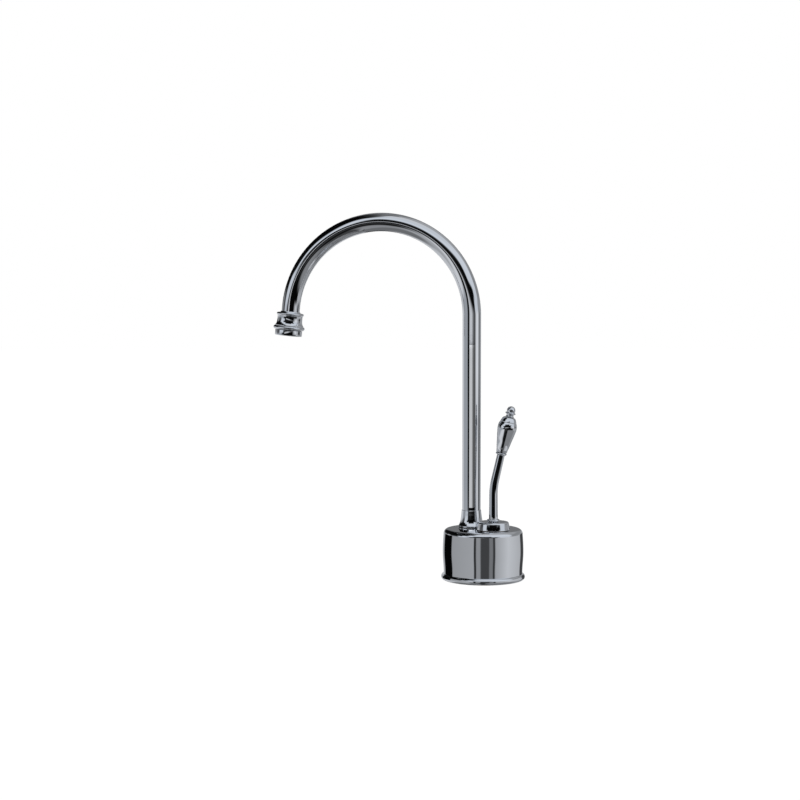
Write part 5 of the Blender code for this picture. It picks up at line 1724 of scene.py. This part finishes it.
    def build_surroundings(self) -> None:
        """Writes the world: white to the camera, even to matt surfaces, and the tiers of cards to the chrome."""
        world = bpy.data.worlds.new("surroundings")
        bpy.context.scene.world = world
        tree = emptied_tree(world)
        around, height = self.around(tree, tree.add("ShaderNodeTexCoord").outputs["Generated"])
        degrees = tree.math("MULTIPLY", tree.math("ARCSINE", height), 180 / math.pi)
        colour = self.ramp(tree, TIERS[0], around)
        for below, tier in zip(TIERS, TIERS[1:]):
            gap = 0.35 * (tier.elevation - below.elevation)
            middle = (tier.elevation + below.elevation) / 2
            share = tree.add(
                "ShaderNodeMapRange",
                {"Value": degrees, "From Min": middle - gap, "From Max": middle + gap},
                interpolation_type="SMOOTHSTEP",
            )
            colour = tree.mixed_colour(share.outputs["Result"], colour, self.ramp(tree, tier, around))
        path = tree.add("ShaderNodeLightPath").outputs
        mirrored, even, white = (
            tree.add("ShaderNodeBackground", {"Color": light, "Strength": strength}).outputs[0]
            for light, strength in ((colour, 1.0), ((0.9, 0.95, 1.0, 1), 0.55), ((1, 1, 1, 1), 1.0))
        )
        lit = tree.mixed_shader(path["Is Glossy Ray"], even, mirrored)
        tree.add("ShaderNodeOutputWorld", {"Surface": tree.mixed_shader(path["Is Camera Ray"], lit, white)})

    def around(self, tree: Tree, place: Any) -> tuple[Any, Any]:
        """Adds the nodes that turn a place or direction into an angle round the object.

        Args:
            tree: the tree to write in.
            place: the socket of the place or direction.

        Returns:
            The socket of the angle, from 0 to 1 with the camera's side at 0.5, and that of the height.
        """
        spun = tree.add(
            "ShaderNodeVectorRotate",
            {"Vector": place, "Angle": -math.radians(self.azimuth)},
            rotation_type="Z_AXIS",
        )
        parts = tree.add("ShaderNodeSeparateXYZ", {0: spun.outputs["Vector"]})
        back = tree.math("MULTIPLY", parts.outputs["Y"], -1.0)
        angle = tree.math("ARCTAN2", parts.outputs["X"], back)
        return tree.math("MULTIPLY_ADD", angle, 1 / math.tau, 0.5), parts.outputs["Z"]

    def build_ring(self) -> None:
        """Stands a low striped ring round the tap, which only the chrome mirrors."""
        mesh = bmesh.new()
        lower, upper = (
            [mesh.verts.new((x, y, height)) for x, y in polygon(self.ring_radius, self.ring_sides)]
            for height in (self.ring_bottom, self.ring_top)
        )
        for side in range(self.ring_sides):
            corner = (side + 1) % self.ring_sides
            mesh.faces.new((lower[side], lower[corner], upper[corner], upper[side]))
        ring = object_of("striped_ring", mesh)
        material = bpy.data.materials.new("striped_ring")
        tree = emptied_tree(material)
        material.cycles.emission_sampling = "NONE"
        around, _ = self.around(tree, tree.add("ShaderNodeTexCoord").outputs["Object"])
        light = tree.add("ShaderNodeEmission", {"Color": self.ramp(tree, RING, around), "Strength": 1.0})
        tree.add("ShaderNodeOutputMaterial", {"Surface": light.outputs[0]})
        ring.data.materials.append(material)
        ring.visible_camera = False
        ring.visible_diffuse = False
        ring.visible_transmission = False
        ring.visible_shadow = False

    @staticmethod
    def ramp(tree: Tree, tier: Tier, around: Any) -> Any:
        """Adds the colour ramp of one tier.

        Args:
            tree: the tree to write in.
            tier: the cards.
            around: the socket of the angle, from 0 to 1.

        Returns:
            The ramp's colour output.
        """
        node = tree.add("ShaderNodeValToRGB", {0: around})
        ramp = node.color_ramp
        ramp.interpolation = "LINEAR"
        stops: list[tuple[float, float, Colour]] = []
        for index, card in enumerate(tier.cards):
            start = card.angle if index == 0 else card.angle + tier.soft / 2
            last = index + 1 == len(tier.cards)
            end = 180 if last else tier.cards[index + 1].angle - tier.soft / 2
            final = card.level if card.last is None else card.last
            stops += [(start, card.level, card.tint), (end, final, card.tint)]
        while len(ramp.elements) > 1:
            ramp.elements.remove(ramp.elements[-1])
        for index, (angle, level, tint) in enumerate(stops):
            position = (angle + 180) / 360
            element = ramp.elements[0] if index == 0 else ramp.elements.new(position)
            element.position = position
            light = shown(level)
            element.color = (*(light * share for share in tint), 1)
        return node.outputs["Color"]


def main() -> None:
    """Builds the tap, sub-assembly by sub-assembly, and then the studio."""
    logging.basicConfig(level=logging.INFO, format="%(name)s %(message)s")
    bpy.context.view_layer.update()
    wardrobe = Wardrobe.of(FINISHES)
    layout = Layout()
    Base(layout).build(wardrobe)
    Spout(layout).build(wardrobe)
    Lever(layout).build(wardrobe)
    DeckFixings().build(wardrobe)
    wardrobe.dress_kept_nodes(
        name for name, node in frame["nodes"].items() if not node.hide_render
    )
    Studio().build()


if __name__ == "__main__":
    main()
